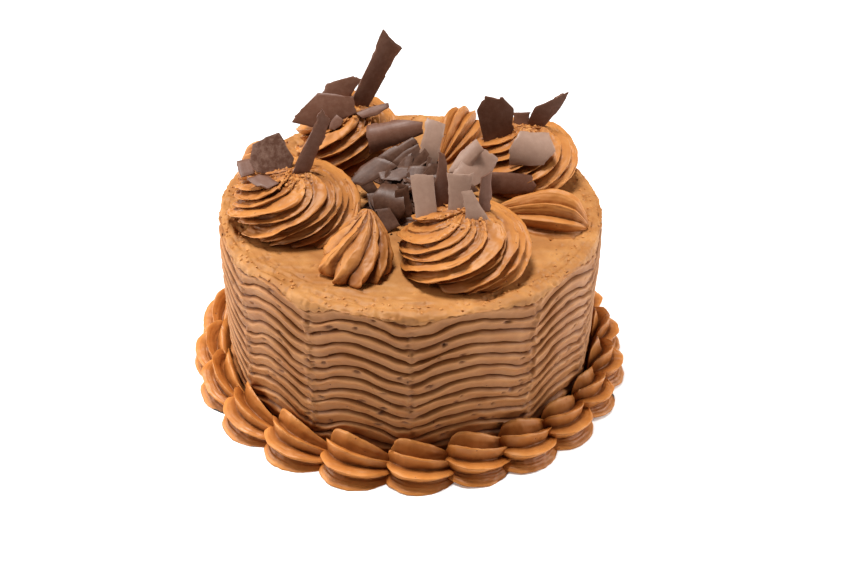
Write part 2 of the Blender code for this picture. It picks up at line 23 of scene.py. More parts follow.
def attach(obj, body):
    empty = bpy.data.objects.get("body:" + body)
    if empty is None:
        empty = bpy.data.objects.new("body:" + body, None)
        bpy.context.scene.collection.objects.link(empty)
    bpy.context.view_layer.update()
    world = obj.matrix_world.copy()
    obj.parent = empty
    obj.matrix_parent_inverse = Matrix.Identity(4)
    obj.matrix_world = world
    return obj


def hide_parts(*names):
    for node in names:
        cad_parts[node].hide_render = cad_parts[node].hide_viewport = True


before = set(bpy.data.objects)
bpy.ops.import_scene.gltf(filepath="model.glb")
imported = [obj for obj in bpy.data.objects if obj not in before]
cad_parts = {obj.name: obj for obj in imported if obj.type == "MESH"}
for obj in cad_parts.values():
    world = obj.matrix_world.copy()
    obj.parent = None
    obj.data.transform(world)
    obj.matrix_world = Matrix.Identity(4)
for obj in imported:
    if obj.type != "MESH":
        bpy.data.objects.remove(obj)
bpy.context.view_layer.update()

LOG = logging.getLogger("cake")

MM = 0.001
SEED = 8
ROOT = "root"

# Sizes in millimetres that several pieces share; piping sinks a little into the top
CAKE_TOP = 94.0
SINK = 0.5
FOOT_RADIUS = 94.5
BELLY_RADIUS = 98.0
BELLY_HEIGHT = 82.0
SHOULDER_RADIUS = 97.0


class Slot(Enum):
    """The record's material slots."""

    FROSTING = "frosting"
    CHOCOLATE = "chocolate"


# Small tools

def linear(code: str) -> tuple[float, float, float, float]:
    """Turns an sRGB colour into a linear one.

    Args:
        code: The colour as "#RRGGBB".

    Returns:
        Red, green, blue and an alpha of 1.
    """
    channels = []
    for place in (1, 3, 5):
        value = int(code[place:place + 2], 16) / 255.0
        channels.append(value / 12.92 if value <= 0.04045 else ((value + 0.055) / 1.055) ** 2.4)
    return (*channels, 1.0)


def own_random(name: str) -> random.Random:
    """Returns a random source fixed by a name; a piece and its solid share theirs."""
    return random.Random(f"{SEED} {name}")


def blend(rows: Sequence[tuple], place: float) -> float:
    """Reads a value from rows by straight lines between them.

    Args:
        rows: Pairs of (place, value), in the order of their places.
        place: Where to read.

    Returns:
        The value there, or the last one beyond the rows.
    """
    for (start, first), (end, second) in zip(rows, rows[1:]):
        if place <= end:
            return first + (second - first) * (place - start) / (end - start)
    return rows[-1][1]


def lattice_noise(points: np.ndarray, seed: int) -> np.ndarray:
    """Smooth noise over space.

    Args:
        points: Places as an array of (count, 3), one noise cell to each unit.
        seed: Chooses one field of many.

    Returns:
        One value from -1 to 1 for each point.
    """
    cell = np.floor(points).astype(np.int64)
    part = points - cell
    part = part * part * (3.0 - 2.0 * part)
    total = np.zeros(len(points))
    for corner in product((0, 1), repeat=3):
        place = cell + np.array(corner)
        # Mixes the corner's place into random bits; the large primes only scatter them
        mixed = place[:, 0] * 73856093 ^ place[:, 1] * 19349663 ^ place[:, 2] * 83492791
        mixed = (mixed ^ (seed * 2654435761)) & 0xFFFFFFFF
        mixed = ((mixed ^ (mixed >> 15)) * 2246822519) & 0xFFFFFFFF
        mixed = ((mixed ^ (mixed >> 13)) * 3266489917) & 0xFFFFFFFF
        value = ((mixed ^ (mixed >> 16)) & 0xFFFF) / 32767.5 - 1.0
        weight = np.where(np.array(corner) == 1, part, 1.0 - part).prod(axis=1)
        total += weight * value
    return total


def smooth_step(start: float, end: float, value: np.ndarray) -> np.ndarray:
    """Rises smoothly from 0 at start to 1 at end, for arrays."""
    part = np.clip((value - start) / (end - start), 0.0, 1.0)
    return part * part * (3.0 - 2.0 * part)


def ring_points(bearings: np.ndarray, radius: np.ndarray, height: np.ndarray) -> np.ndarray:
    """Points at bearings in degrees, with a radius and a height for each."""
    turn = np.radians(bearings)
    return np.stack((radius * np.sin(turn), -radius * np.cos(turn), height), axis=-1)


def wall_radius(height: np.ndarray) -> np.ndarray:
    """Radius of the side at a height, over the comb's ridges."""
    heights, radii = (0.0, BELLY_HEIGHT, CAKE_TOP), (FOOT_RADIUS, BELLY_RADIUS, SHOULDER_RADIUS)
    return np.interp(height, heights, radii)


def link_mesh(name: str, points: np.ndarray, faces: list) -> bpy.types.Object:
    """Makes a smooth-shaded object.

    Args:
        name: The object's name.
        points: Its points, in millimetres.
        faces: Its faces, as indices of points.

    Returns:
        The object, linked into the scene.
    """
    mesh = bpy.data.meshes.new(name)
    mesh.from_pydata([tuple(point) for point in points], [], faces)
    mesh.update()
    mesh.shade_smooth()
    piece = bpy.data.objects.new(name, mesh)
    bpy.context.scene.collection.objects.link(piece)
    return piece


def ring_faces(rows: int, count: int) -> list:
    """Makes quads between closed rings of points.

    Args:
        rows: How many rings there are.
        count: How many points each ring has.

    Returns:
        The faces, facing out where the rings climb.
    """
    faces = []
    for row in range(rows - 1):
        low = row * count
        for i in range(count):
            j = (i + 1) % count
            faces.append((low + i, low + j, low + count + j, low + count + i))
    return faces


def finish_piece(
    piece: bpy.types.Object,
    nodes: Sequence[str],
    materials: Sequence[bpy.types.Material] = (),
) -> None:
    """Scales a piece to metres, dresses it and sets it in the frame.

    Args:
        piece: The piece, its mesh in millimetres.
        nodes: The solids that it stands for.
        materials: Its materials, in slot order, or none to keep what it has.
    """
    piece.data.transform(Matrix.Scale(MM, 4))
    if materials:
        piece.data.materials.clear()
        for material in materials:
            piece.data.materials.append(material)
    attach(piece, ROOT)
    if nodes:
        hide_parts(*nodes)
    stands_for = ", ".join(nodes) or "the scene alone"
    LOG.info("%s: %d faces for %s", piece.name, len(piece.data.polygons), stands_for)


class Wiring:
    """A node tree that is being put together."""

    def __init__(self, tree: bpy.types.NodeTree) -> None:
        """Keeps the tree that nodes are added to."""
        self.tree = tree

    def add(
        self, kind: str, *values: object, output: int | str = 0, named: Optional[dict] = None,
        **settings: object,
    ) -> Optional[bpy.types.NodeSocket]:
        """Adds one node with its settings and links.

        Args:
            kind: The node's type.
            values: What goes into its inputs in order: a socket, a plain value, or None.
            output: The output that is returned, by index or name.
            named: Inputs by name, as in values.
            settings: The node's own properties.

        Returns:
            The chosen output socket, or None on a node that has none.
        """
        node = self.tree.nodes.new(kind)
        for key, value in settings.items():
            setattr(node, key, value)
        given = dict(enumerate(values))
        given.update(named or {})
        for key, value in given.items():
            if value is None:
                continue
            if isinstance(value, bpy.types.NodeSocket):
                self.tree.links.new(value, node.inputs[key])
            else:
                node.inputs[key].default_value = value
        return node.outputs[output] if node.outputs else None


def set_curve(socket: bpy.types.NodeSocket, rows: Sequence[tuple]) -> bpy.types.NodeSocket:
    """Shapes a Float Curve node.

    Args:
        socket: The node's output.
        rows: Pairs of (place, value) that the curve goes through.

    Returns:
        The same socket.
    """
    mapping = socket.node.mapping
    mapping.use_clip = False
    points = mapping.curves[0].points
    while len(points) < len(rows):
        points.new(0.5, 0.5)
    for point, row in zip(points, rows):
        point.location = row
        point.handle_type = "AUTO_CLAMPED"
    mapping.update()
    return socket


@dataclass(frozen=True)
class Relief:
    """One layer of unevenness: how wide and how deep its lumps are, in millimetres.

    A squeeze above 1 makes the lumps lower than they are wide.
    """

    size: float
    depth: float
    seed: int
    squeeze: float = 1.0

    def over(self, points: np.ndarray) -> np.ndarray:
        """Reads the layer, from -depth to depth, at places given as an array of (..., 3)."""
        cells = points.reshape(-1, 3) * np.array((1.0, 1.0, self.squeeze)) / self.size
        return self.depth * lattice_noise(cells, self.seed).reshape(points.shape[:-1])


def all_reliefs(layers: Sequence[Relief], points: np.ndarray) -> np.ndarray:
    """Adds up several layers of unevenness at points."""
    return sum(layer.over(points) for layer in layers)


# Finishes

@dataclass(frozen=True)
class Buttercream:
    """Chocolate buttercream: butter, sugar and cocoa beaten with air.

    It is dense and opaque with a soft satin skin, and shows fine air holes, a faint
    grain of sugar and slow drifts in its brown. Where the nozzle or the comb left a
    crease, its brown is darkened as painted shade; the piece's "open" attribute is 0 there
    and 1 on a crest. The air holes are darkened as painted shade too.
    The holes and the grain are drawn coarser than they are, so that they show.
    """

    name: str
    brown: str
    pale: str
    roughness: float
    grain_strength: float
    hole_share: float
    crease_shade: float = 0.0
    hole_shade_tint: str = "#6E3A16"
    crease_shade_tint: str = "#7A4E2C"
    drift_mm: float = 14.0
    grain_mm: float = 0.9
    hole_mm: float = 4.2
    hole_radius: float = 0.13
    hole_shade: float = 0.55
    bump_mm: float = 0.5
    bump_strength: float = 0.5
    ior: float = 1.45

    def material(self) -> bpy.types.Material:
        """Builds the material.

        Returns:
            The material, its patterns scaled in Object coordinates.
        """
        material = bpy.data.materials.new(self.name)
        material.use_nodes = True
        add = Wiring(material.node_tree).add
        shader = material.node_tree.nodes["Principled BSDF"]
        place = add("ShaderNodeTexCoord", output="Object")
        drift = add("ShaderNodeTexNoise", named={
            "Vector": place, "Scale": 1.0 / (self.drift_mm * MM), "Detail": 3.0, "Roughness": 0.6,
        })
        drift = add("ShaderNodeMapRange", drift, 0.35, 0.68)
        brown = add("ShaderNodeMix", data_type="RGBA", output=2, named={
            0: drift, 6: linear(self.brown), 7: linear(self.pale),
        })
        grain = add("ShaderNodeTexNoise", named={
            "Vector": place, "Scale": 1.0 / (self.grain_mm * MM), "Detail": 4.0, "Roughness": 0.65,
        })
        spread = {"Vector": place, "Scale": 1.0 / (self.hole_mm * MM), "Randomness": 1.0}
        cells = add("ShaderNodeTexVoronoi", output="Distance", named=spread)
        chosen = add("ShaderNodeTexVoronoi", output="Color", named=spread)
        chosen = add("ShaderNodeSeparateColor", chosen)
        chosen = add("ShaderNodeMath", chosen, self.hole_share, operation="LESS_THAN")
        hole = add("ShaderNodeMapRange", cells, self.hole_radius * 0.55, self.hole_radius, 1.0, 0.0)
        hole = add("ShaderNodeMath", hole, chosen, operation="MULTIPLY")
        # Painted shade: the air holes are darkened towards a dark tint as well as sunk by the bump
        hole_shade_share = add("ShaderNodeMath", hole, self.hole_shade, operation="MULTIPLY")
        brown = add("ShaderNodeMix", data_type="RGBA", output=2, blend_type="MULTIPLY", named={
            0: hole_shade_share, 6: brown, 7: linear(self.hole_shade_tint),
        })
        # Painted shade: the brown is multiplied towards a dark tint in creases, by up to crease_shade where
        # the "open" attribute is 0
        if self.crease_shade:
            crease_shade_share = add("ShaderNodeAttribute", attribute_name="open", output="Fac")
            crease_shade_share = add("ShaderNodeMapRange", crease_shade_share, 0.0, 1.0, self.crease_shade, 0.0)
            brown = add("ShaderNodeMix", data_type="RGBA", output=2, blend_type="MULTIPLY", named={
                0: crease_shade_share, 6: brown, 7: linear(self.crease_shade_tint),
            })
        height = add("ShaderNodeMath", grain, self.grain_strength, operation="MULTIPLY")
        height = add("ShaderNodeMath", height, hole, operation="SUBTRACT")
        bump = add("ShaderNodeBump", named={
            "Strength": self.bump_strength, "Distance": self.bump_mm * MM, "Height": height,
        })
        links = material.node_tree.links
        links.new(brown, shader.inputs["Base Color"])
        links.new(bump, shader.inputs["Normal"])
        shader.inputs["Roughness"].default_value = self.roughness
        shader.inputs["IOR"].default_value = self.ior
        return material


@dataclass(frozen=True)
class DarkChocolate:
    """Dark chocolate set in a thin sheet and broken: satin faces with fine scraping lines.

    Cocoa butter that has set on the face clouds it with a paler bloom. Its shine is
    weaker than a polished bar's, because the sheet was scraped and handled.
    """

    name: str
    brown: str
    pale: str
    roughness: float
    streak_strength: float
    bloom: float
    streak_mm: float = 0.8
    streak_stretch: float = 0.05
    bloom_mm: float = 3.0
    bump_mm: float = 0.3
    smoother: float = 0.06
    rougher: float = 0.08
    ior: float = 1.5
    shine: float = 0.28

    def material(self) -> bpy.types.Material:
        """Builds the material.

        Returns:
            The material; its streaks follow the sheet's own map, in millimetres.
        """
        material = bpy.data.materials.new(self.name)
        material.use_nodes = True
        add = Wiring(material.node_tree).add
        shader = material.node_tree.nodes["Principled BSDF"]
        sheet = add("ShaderNodeUVMap", uv_map="sheet")
        along = add("ShaderNodeMapping", sheet, named={"Scale": (1.0, self.streak_stretch, 1.0)})
        streak = add("ShaderNodeTexNoise", named={
            "Vector": along, "Scale": 1.0 / self.streak_mm, "Detail": 3.0, "Roughness": 0.6,
        })
        place = add("ShaderNodeTexCoord", output="Object")
        cloud = add("ShaderNodeTexNoise", named={
            "Vector": place, "Scale": 1.0 / (self.bloom_mm * MM), "Detail": 5.0, "Roughness": 0.7,
        })
        cloud = add("ShaderNodeMapRange", cloud, 0.42, 0.72, 0.0, self.bloom)
        brown = add("ShaderNodeMix", data_type="RGBA", output=2, named={
            0: cloud, 6: linear(self.brown), 7: linear(self.pale),
        })
        least, most = self.roughness - self.smoother, self.roughness + self.rougher
        rough = add("ShaderNodeMapRange", streak, 0.3, 0.7, least, most)
        bump = add("ShaderNodeBump", named={
            "Strength": self.streak_strength, "Distance": self.bump_mm * MM, "Height": streak,
        })
        links = material.node_tree.links
        links.new(brown, shader.inputs["Base Color"])
        links.new(rough, shader.inputs["Roughness"])
        links.new(bump, shader.inputs["Normal"])
        shader.inputs["IOR"].default_value = self.ior
        shader.inputs["Specular IOR Level"].default_value = self.shine
        return material


@dataclass
class Finishes:
    """Every material of the cake, built once."""

    side: bpy.types.Material = field(init=False)
    top: bpy.types.Material = field(init=False)
    piped: bpy.types.Material = field(init=False)
    border: bpy.types.Material = field(init=False)
    crumbled: bpy.types.Material = field(init=False)
    sheet: bpy.types.Material = field(init=False)
    bloomed: bpy.types.Material = field(init=False)
    pale_sheet: bpy.types.Material = field(init=False)
    heaped: bpy.types.Material = field(init=False)
    snapped: bpy.types.Material = field(init=False)
    shaded: bpy.types.Material = field(init=False)

    def __post_init__(self) -> None:
        """Builds the materials from their finishes."""
        # Scraped by the comb, which closes most air holes and leaves a duller, greyer brown;
        # its grooves and slits are darkened as painted shade
        self.side = Buttercream(
            "combed buttercream", "#A67040", "#B68252", roughness=0.55, grain_strength=0.25,
            hole_share=0.12, crease_shade=0.75,
        ).material()
        # Spread with a knife, which drags the holes open and shows the grain
        self.top = Buttercream(
            "spread buttercream", "#A06C3A", "#B8844E", roughness=0.58, grain_strength=0.5, hole_share=0.4,
        ).material()
        # Pushed through the nozzle, which leaves a smoother skin; its creases are darkened as painted shade
        self.piped = Buttercream(
            "piped buttercream", "#B2743A", "#C2864A", roughness=0.5, grain_strength=0.25,
            hole_share=0.3, crease_shade=0.62,
        ).material()
        # The border shells' creases are darkened as painted shade as well
        self.border = Buttercream(
            "border buttercream", "#BA783A", "#CA8A4C", roughness=0.45, grain_strength=0.15,
            hole_share=0.12, crease_shade=0.6,
        ).material()
        # Torn to crumbs, which are matt and a little paler
        self.crumbled = Buttercream(
            "crumbled buttercream", "#B67A40", "#C68E54", roughness=0.6, grain_strength=0.5, hole_share=0.0,
        ).material()
        self.sheet = DarkChocolate(
            "dark chocolate sheet", "#6E4C3C", "#826252", roughness=0.44, streak_strength=0.25, bloom=0.6,
        ).material()
        # Clouded by cocoa butter
        self.bloomed = DarkChocolate(
            "bloomed dark chocolate", "#5E4032", "#866A5C", roughness=0.54, streak_strength=0.3, bloom=1.0,
        ).material()
        # Painted sheen: a paler copy of the sheet's brown, for faces that catch the light
        self.pale_sheet = DarkChocolate(
            "satin dark chocolate", "#997D6D", "#A78B7A", roughness=0.4, streak_strength=0.2, bloom=0.7,
        ).material()
        # Painted shade: a darker copy of the sheet's brown, for the heap and the pieces in its shade
        self.heaped = DarkChocolate(
            "heaped dark chocolate", "#573C2E", "#735646", roughness=0.42, streak_strength=0.3, bloom=0.7,
        ).material()
        # Broken edges, rough and matt
        self.snapped = DarkChocolate(
            "snapped chocolate edge", "#3E281C", "#5E4230", roughness=0.6, streak_strength=0.6, bloom=0.8,
        ).material()
        # Painted shadow: near-black chocolate for the heap's core, standing for the deep shade among the
        # pieces
        self.shaded = DarkChocolate(
            "chocolate dust", "#1C110B", "#2C1C14", roughness=0.8, streak_strength=0.6, bloom=0.8,
        ).material()


# Body

@dataclass
class CombedBody:
    """The frosted cake: a combed side under a top smoothed with a palette knife.

    The comb's bands climb and fall in waves, with a sharp trough at each bearing in
    troughs. The band profile gives the groove's depth over one band, from its foot up.
    Shares are of the combed height, and reliefs are added as depths into the side.
    """

    finishes: Finishes
    segments: int = 570
    band_count: int = 13
    combed_height: float = 90.5
    cut_off: float = 92.6
    cut_squeeze: float = 0.02
    foot_inset: float = 1.0
    hidden_rings: tuple = ((93.0, 90.5), (80.0, 90.0))
    wave_half_height: float = 5.6
    wave_crest_at: float = 0.42
    wave_full_by: float = 0.22
    wave_fades_from: float = 0.86
    wave_fade: float = 0.22
    wave_rounding: tuple = (-4.8, -3.2, -1.6, 0.0, 1.6, 3.2, 4.8)
    troughs: tuple = (-57.0, -29.5, 1.0, 38.8, 69.0, 101.0, 133.0, 166.0, 199.0, 231.0, 266.0)
    groove_depth: float = 2.7
    first_groove: float = 0.5
    last_groove: float = 0.6
    band_profile: tuple = (
        (0.0, 1.0), (0.045, 0.8), (0.085, 0.48), (0.2, 0.44), (0.32, 0.4), (0.44, 0.34), (0.54, 0.24),
        (0.63, 0.13), (0.72, 0.0), (0.81, 0.06), (0.88, 0.26), (0.93, 0.52), (0.97, 0.88),
    )
    tear_reach: float = 1.7
    foot_zone: tuple = (0.05, 0.26)
    lip_from: float = 0.93
    groove_strength: float = 0.9
    groove_lost_in_tears: float = 0.45
    groove_limits: tuple = (0.1, 1.3)
    wave_drift: Relief = Relief(14.0, 2.2, 2, 2.0)
    trough_drift: Relief = Relief(6.0, 0.5, 3)
    groove_wear: Relief = Relief(9.0, 0.35, 5, 2.0)
    side_reliefs: tuple = (Relief(11.0, 0.25, 7), Relief(2.6, 0.12, 8, 2.0))
    tear_reliefs: tuple = (Relief(1.9, 1.4, 11, 1.8), Relief(3.6, 0.7, 12))
    foot_reliefs: tuple = (Relief(5.0, 1.0, 13, 3.4), Relief(2.2, 0.5, 14, 1.6))
    lip_relief: Relief = Relief(2.2, 0.6, 15)
    band_drift: Relief = Relief(5.0, 0.45, 21)
    tear_lift: Relief = Relief(2.0, 0.9, 22)
    slit_count: int = 300
    slit_from_band: int = 2
    slit_places: tuple = (0.14, 0.5, 0.62, 0.66)
    slit_half_lengths: tuple = (0.5, 2.2)
    slit_half_heights: tuple = (0.45, 0.75)
    slit_depths: tuple = (0.9, 2.0)
    slit_slope: float = 0.15
    slit_shade: float = 0.8

    def build(self) -> None:
        """Builds the side; it stands for the body's solid together with the top."""
        levels, depths = self.band_levels()
        level = np.array(levels)[:, None]
        closed = np.array(depths)[:, None]
        bearing = np.ones_like(level) * (np.arange(self.segments) * 360.0 / self.segments)[None, :]
        height = self.band_heights(level, bearing)
        turn = np.radians(bearing)
        spots = np.stack((np.sin(turn), np.cos(turn), height / BELLY_RADIUS), -1) * BELLY_RADIUS
        torn = self.trough_closeness(bearing + self.trough_drift.over(spots))
        slits = self.slits(turn * BELLY_RADIUS, height)
        depth = self.groove_depths(level, closed, torn, spots) + slits
        height = height + self.band_drift.over(spots) + torn * self.tear_lift.over(spots)
        squeezed = self.cut_off + self.cut_squeeze * (height - self.cut_off)
        height = np.where(height < self.cut_off, height, squeezed)
        radius = wall_radius(height) - depth
        height[0] = 0.0
        radius[0] = FOOT_RADIUS - self.foot_inset
        rings = [ring_points(bearing[i], radius[i], height[i]) for i in range(len(levels))]
        for inner, up in self.hidden_rings:
            rings.append(ring_points(bearing[0], np.full(self.segments, inner), np.full(self.segments, up)))
        points = np.concatenate(rings)
        faces = ring_faces(len(rings), self.segments)
        faces.append(tuple(reversed(range(self.segments))))
        last = (len(rings) - 1) * self.segments
        faces.append(tuple(last + i for i in range(self.segments)))
        side = link_mesh("combed_side", points, faces)
        # The "open" attribute carries painted shade: 0 deep in a groove or slit, where the material darkens
        # the brown, 1 on a crest
        openness = np.ones(len(points))
        groove_shade_share = np.clip(closed + self.slit_shade * slits, 0.0, 1.0)
        openness[:groove_shade_share.size] = 1.0 - groove_shade_share.ravel()
        side.data.attributes.new("open", "FLOAT", "POINT").data.foreach_set("value", openness)
        finish_piece(side, ["cake_body"], [self.finishes.side])

    def wave(self, bearing: np.ndarray) -> np.ndarray:
        """Height of the comb's wave.

        Args:
            bearing: Bearings in degrees.

        Returns:
            -1 in the sharp troughs, rising to 1 on the round crests.
        """
        starts = np.array(self.troughs)
        ends = np.append(starts[1:], starts[0] + 360.0)
        turned = starts[0] + (bearing - starts[0]) % 360.0
        which = np.clip(np.searchsorted(starts, turned, side="right") - 1, 0, len(starts) - 1)
        part = (turned - starts[which]) / (ends[which] - starts[which])
        crest = self.wave_crest_at
        rise = 2.0 * np.sin(0.5 * math.pi * part / crest) - 1.0
        fall = 2.0 * np.cos(0.5 * math.pi * (part - crest) / (1.0 - crest)) - 1.0
        return np.where(part < crest, rise, fall)

    def worn_wave(self, bearing: np.ndarray) -> np.ndarray:
        """The comb's wave with its troughs rounded off."""
        return sum(self.wave(bearing + turn) for turn in self.wave_rounding) / len(self.wave_rounding)

    def band_levels(self) -> tuple[list, list]:
        """Lists the side's rings from the foot up.

        Returns:
            Each ring's share of the combed height, and its share of the groove's depth.
        """
        levels, depths = [], []
        for band in range(self.band_count):
            for place, depth in self.band_profile:
                levels.append((band + place) / self.band_count)
                depths.append(depth if band or place > 0.1 else self.first_groove)
        return levels + [1.0], depths + [self.last_groove]

    def band_heights(self, level: np.ndarray, bearing: np.ndarray) -> np.ndarray:
        """Height of each ring round the cake, with the comb's waves.

        Args:
            level: Each ring's share of the combed height, as a column.
            bearing: Bearings in degrees, a row for each ring.

        Returns:
            Heights in millimetres, in the shape of bearing.
        """
        fade = self.wave_fade * smooth_step(self.wave_fades_from, 1.0, level)
        strength = smooth_step(0.0, self.wave_full_by, level) * (1.0 - fade)
        sheet_height = SHOULDER_RADIUS * level * np.ones_like(bearing)
        sheet = ring_points(bearing, np.full(bearing.shape, SHOULDER_RADIUS), sheet_height)
        swing = self.worn_wave(bearing + self.wave_drift.over(sheet))
        return self.combed_height * level + self.wave_half_height * strength * swing

    def trough_closeness(self, bearing: np.ndarray) -> np.ndarray:
        """How near a place is to a trough, where the comb tears the frosting.

        Args:
            bearing: Bearings in degrees.

        Returns:
            1 in a trough and 0 beyond a few degrees from it.
        """
        closeness = np.zeros_like(bearing)
        for trough in self.troughs:
            away = (bearing - trough + 180.0) % 360.0 - 180.0
            closeness = np.maximum(closeness, np.exp(-((away / self.tear_reach) ** 2)))
        return closeness

    def groove_depths(
        self, level: np.ndarray, closed: np.ndarray, torn: np.ndarray, spots: np.ndarray,
    ) -> np.ndarray:
        """Depth of the comb's grooves and of the roughness over them.

        Args:
            level: Each ring's share of the combed height, as a column.
            closed: Each ring's share of the groove's depth, as a column.
            torn: Closeness to a trough, a row for each ring.
            spots: The places themselves, in millimetres.

        Returns:
            Depths in millimetres, in the shape of torn.
        """
        low = 1.0 - smooth_step(*self.foot_zone, level)
        worn = self.groove_strength + self.groove_wear.over(spots) - self.groove_lost_in_tears * torn
        depth = self.groove_depth * closed * np.clip(worn, *self.groove_limits)
        depth = depth + all_reliefs(self.side_reliefs, spots)
        depth = depth + torn * all_reliefs(self.tear_reliefs, spots)
        depth = depth + low * all_reliefs(self.foot_reliefs, spots)
        return depth + smooth_step(self.lip_from, 1.0, level) * self.lip_relief.over(spots)

    def slits(self, arc: np.ndarray, height: np.ndarray) -> np.ndarray:
        """Depth of the short tears that the comb leaves, most of them under a band's edge.

        Args:
            arc: How far round the side each place is, in millimetres.
            height: Its height.

        Returns:
            Depths in millimetres.
        """
        source = own_random("slits")
        total = np.zeros_like(arc)
        around = 2.0 * math.pi * BELLY_RADIUS
        pitch = self.combed_height / self.band_count
        for _ in range(self.slit_count):
            middle = source.uniform(0.0, around)
            bearing = np.array([math.degrees(middle / BELLY_RADIUS)])
            band = source.randrange(self.slit_from_band, self.band_count)
            up = pitch * (band + source.choice(self.slit_places))
            up += self.wave_half_height * float(self.worn_wave(bearing)[0])
            half_length = source.uniform(*self.slit_half_lengths)
            half_height = source.uniform(*self.slit_half_heights)
            deep = source.uniform(*self.slit_depths)
            slope = source.uniform(-self.slit_slope, self.slit_slope)
            away = (arc - middle + 0.5 * around) % around - 0.5 * around
            across = (away / half_length) ** 2 + ((height - up - slope * away) / half_height) ** 2
            total += deep * np.exp(-across ** 1.5)
        return total


@dataclass
class SmoothedTop:
    """The top, spread with a palette knife, its torn lip laid over the last band.

    Each row of the lip's profile says how far out of the rim it lies, how much of the
    climb to the shoulder it has made, and how far it is raised.
    """

    finishes: Finishes
    body: CombedBody
    segments: int = 960
    lip_height: float = 89.9
    lip_wave: float = 2.9
    lip_limit: float = 92.4
    lip_inset: float = 0.3
    lip_tears: tuple = (Relief(7.0, 0.9, 31), Relief(2.0, 1.0, 32))
    lip_edges: tuple = (Relief(6.0, 0.6, 33), Relief(1.6, 0.2, 34))
    lip_ripple: Relief = Relief(2.2, 0.4, 35)
    lip_profile: tuple = (
        (-2.2, 0.0, -0.6), (-0.4, 0.0, -0.15), (0.2, 0.0, 0.3), (0.3, 0.25, 0.1), (0.2, 0.5, 0.1),
        (0.0, 0.75, 0.05), (-0.3, 1.0, 0.0),
    )
    shoulder_height: float = 92.8
    shoulder_profile: tuple = ((-0.8, 93.3), (-1.6, 93.7), (-2.8, 94.0), (-4.0, 94.15))
    ring_radii: tuple = (92.4, 4.0)
    halving_radii: tuple = (58.0, 22.0)
    fine_until: float = 78.0
    fine_step: float = 0.75
    coarse_step: float = 1.6
    underside: float = 88.0
    flat_zone: tuple = (90.5, 93.5)
    rim_zone: tuple = (80.0, 95.0)
    swell: Relief = Relief(30.0, 0.5, 41)
    stroke: Relief = Relief(1.0, 0.3, 42)
    stroke_size: tuple = (26.0, 2.1)
    rim_stroke: Relief = Relief(1.0, 0.4, 43)
    rim_stroke_turns: float = 5.0
    rim_stroke_width: float = 1.9
    rim_crumble: Relief = Relief(2.0, 0.45, 44)
    rim_lumps: Relief = Relief(6.0, 0.4, 45)
    dent_count: int = 640
    dent_zone: float = 64.0
    dent_reach: float = 97.0
    dent_spread: float = 28.0
    dent_sizes: tuple = (0.45, 0.9)
    dent_stretches: tuple = (1.0, 1.0, 1.6, 4.0, 8.0)
    dent_depths: tuple = (0.6, 1.4)
    dent_signs: tuple = (1.0, 1.0, -0.5)

    def build(self) -> None:
        """Builds the top; it stands for the body's solid together with the side."""
        rows = self.lip_rings()
        radius, least = self.ring_radii
        while radius > least:
            count = self.segments // 2 ** sum(radius < limit for limit in self.halving_radii)
            bearing = np.arange(count) * 360.0 / count
            rows.append(ring_points(bearing, np.full(count, radius), np.full(count, CAKE_TOP)))
            radius -= self.fine_step if radius > self.fine_until else self.coarse_step
        counts = [len(row) for row in rows]
        points = self.roughen(np.concatenate(rows))
        faces = self.stitch_rings(counts)
        middle = len(points)
        last = middle - counts[-1]
        points = np.concatenate((points, [(0.0, 0.0, CAKE_TOP), (0.0, 0.0, self.underside)]))
        for i in range(counts[-1]):
            faces.append((last + i, last + (i + 1) % counts[-1], middle))
        for i in range(counts[0]):
            faces.append(((i + 1) % counts[0], i, middle + 1))
        top = link_mesh("smoothed_top", points, faces)
        finish_piece(top, ["cake_body"], [self.finishes.top])

    def lip_rings(self) -> list:
        """Rings of points over the torn lip and the shoulder.

        Returns:
            One array of points for each ring, from under the lip inwards.
        """
        bearing = np.arange(self.segments) * 360.0 / self.segments
        turn = np.radians(bearing)
        around = np.stack((np.sin(turn), np.cos(turn), bearing * 0.0), -1) * SHOULDER_RADIUS
        tear = self.lip_height + self.lip_wave * self.body.worn_wave(bearing)
        tear = np.minimum(tear + all_reliefs(self.lip_tears, around), self.lip_limit)
        rim = wall_radius(tear) - self.lip_inset + all_reliefs(self.lip_edges, around)
        rings = []
        for i, (out, climb, up) in enumerate(self.lip_profile):
            ripple = replace(self.lip_ripple, seed=self.lip_ripple.seed + i).over(around)
            height = tear + (self.shoulder_height - tear) * climb + up
            rings.append(ring_points(bearing, rim + out + ripple, height))
        for out, up in self.shoulder_profile:
            rings.append(ring_points(bearing, rim + out, np.full(self.segments, up)))
        return rings

    @staticmethod
    def stitch_rings(counts: Sequence[int]) -> list:
        """Faces between rings of points, where a ring has as many as the last or half.

        Args:
            counts: How many points each ring has.

        Returns:
            The faces, facing up where the rings close in.
        """
        faces = []
        start = 0
        for here, following in zip(counts, counts[1:]):
            upper = start + here
            step = here // following
            for i in range(following):
                j = (i + 1) % following
                if step == 1:
                    faces.append((start + i, start + j, upper + j, upper + i))
                    continue
                a, b, c = 2 * i, 2 * i + 1, (2 * i + 2) % here
                faces.append((start + a, start + b, upper + i))
                faces.append((start + b, start + c, upper + j, upper + i))
            start = upper
        return faces

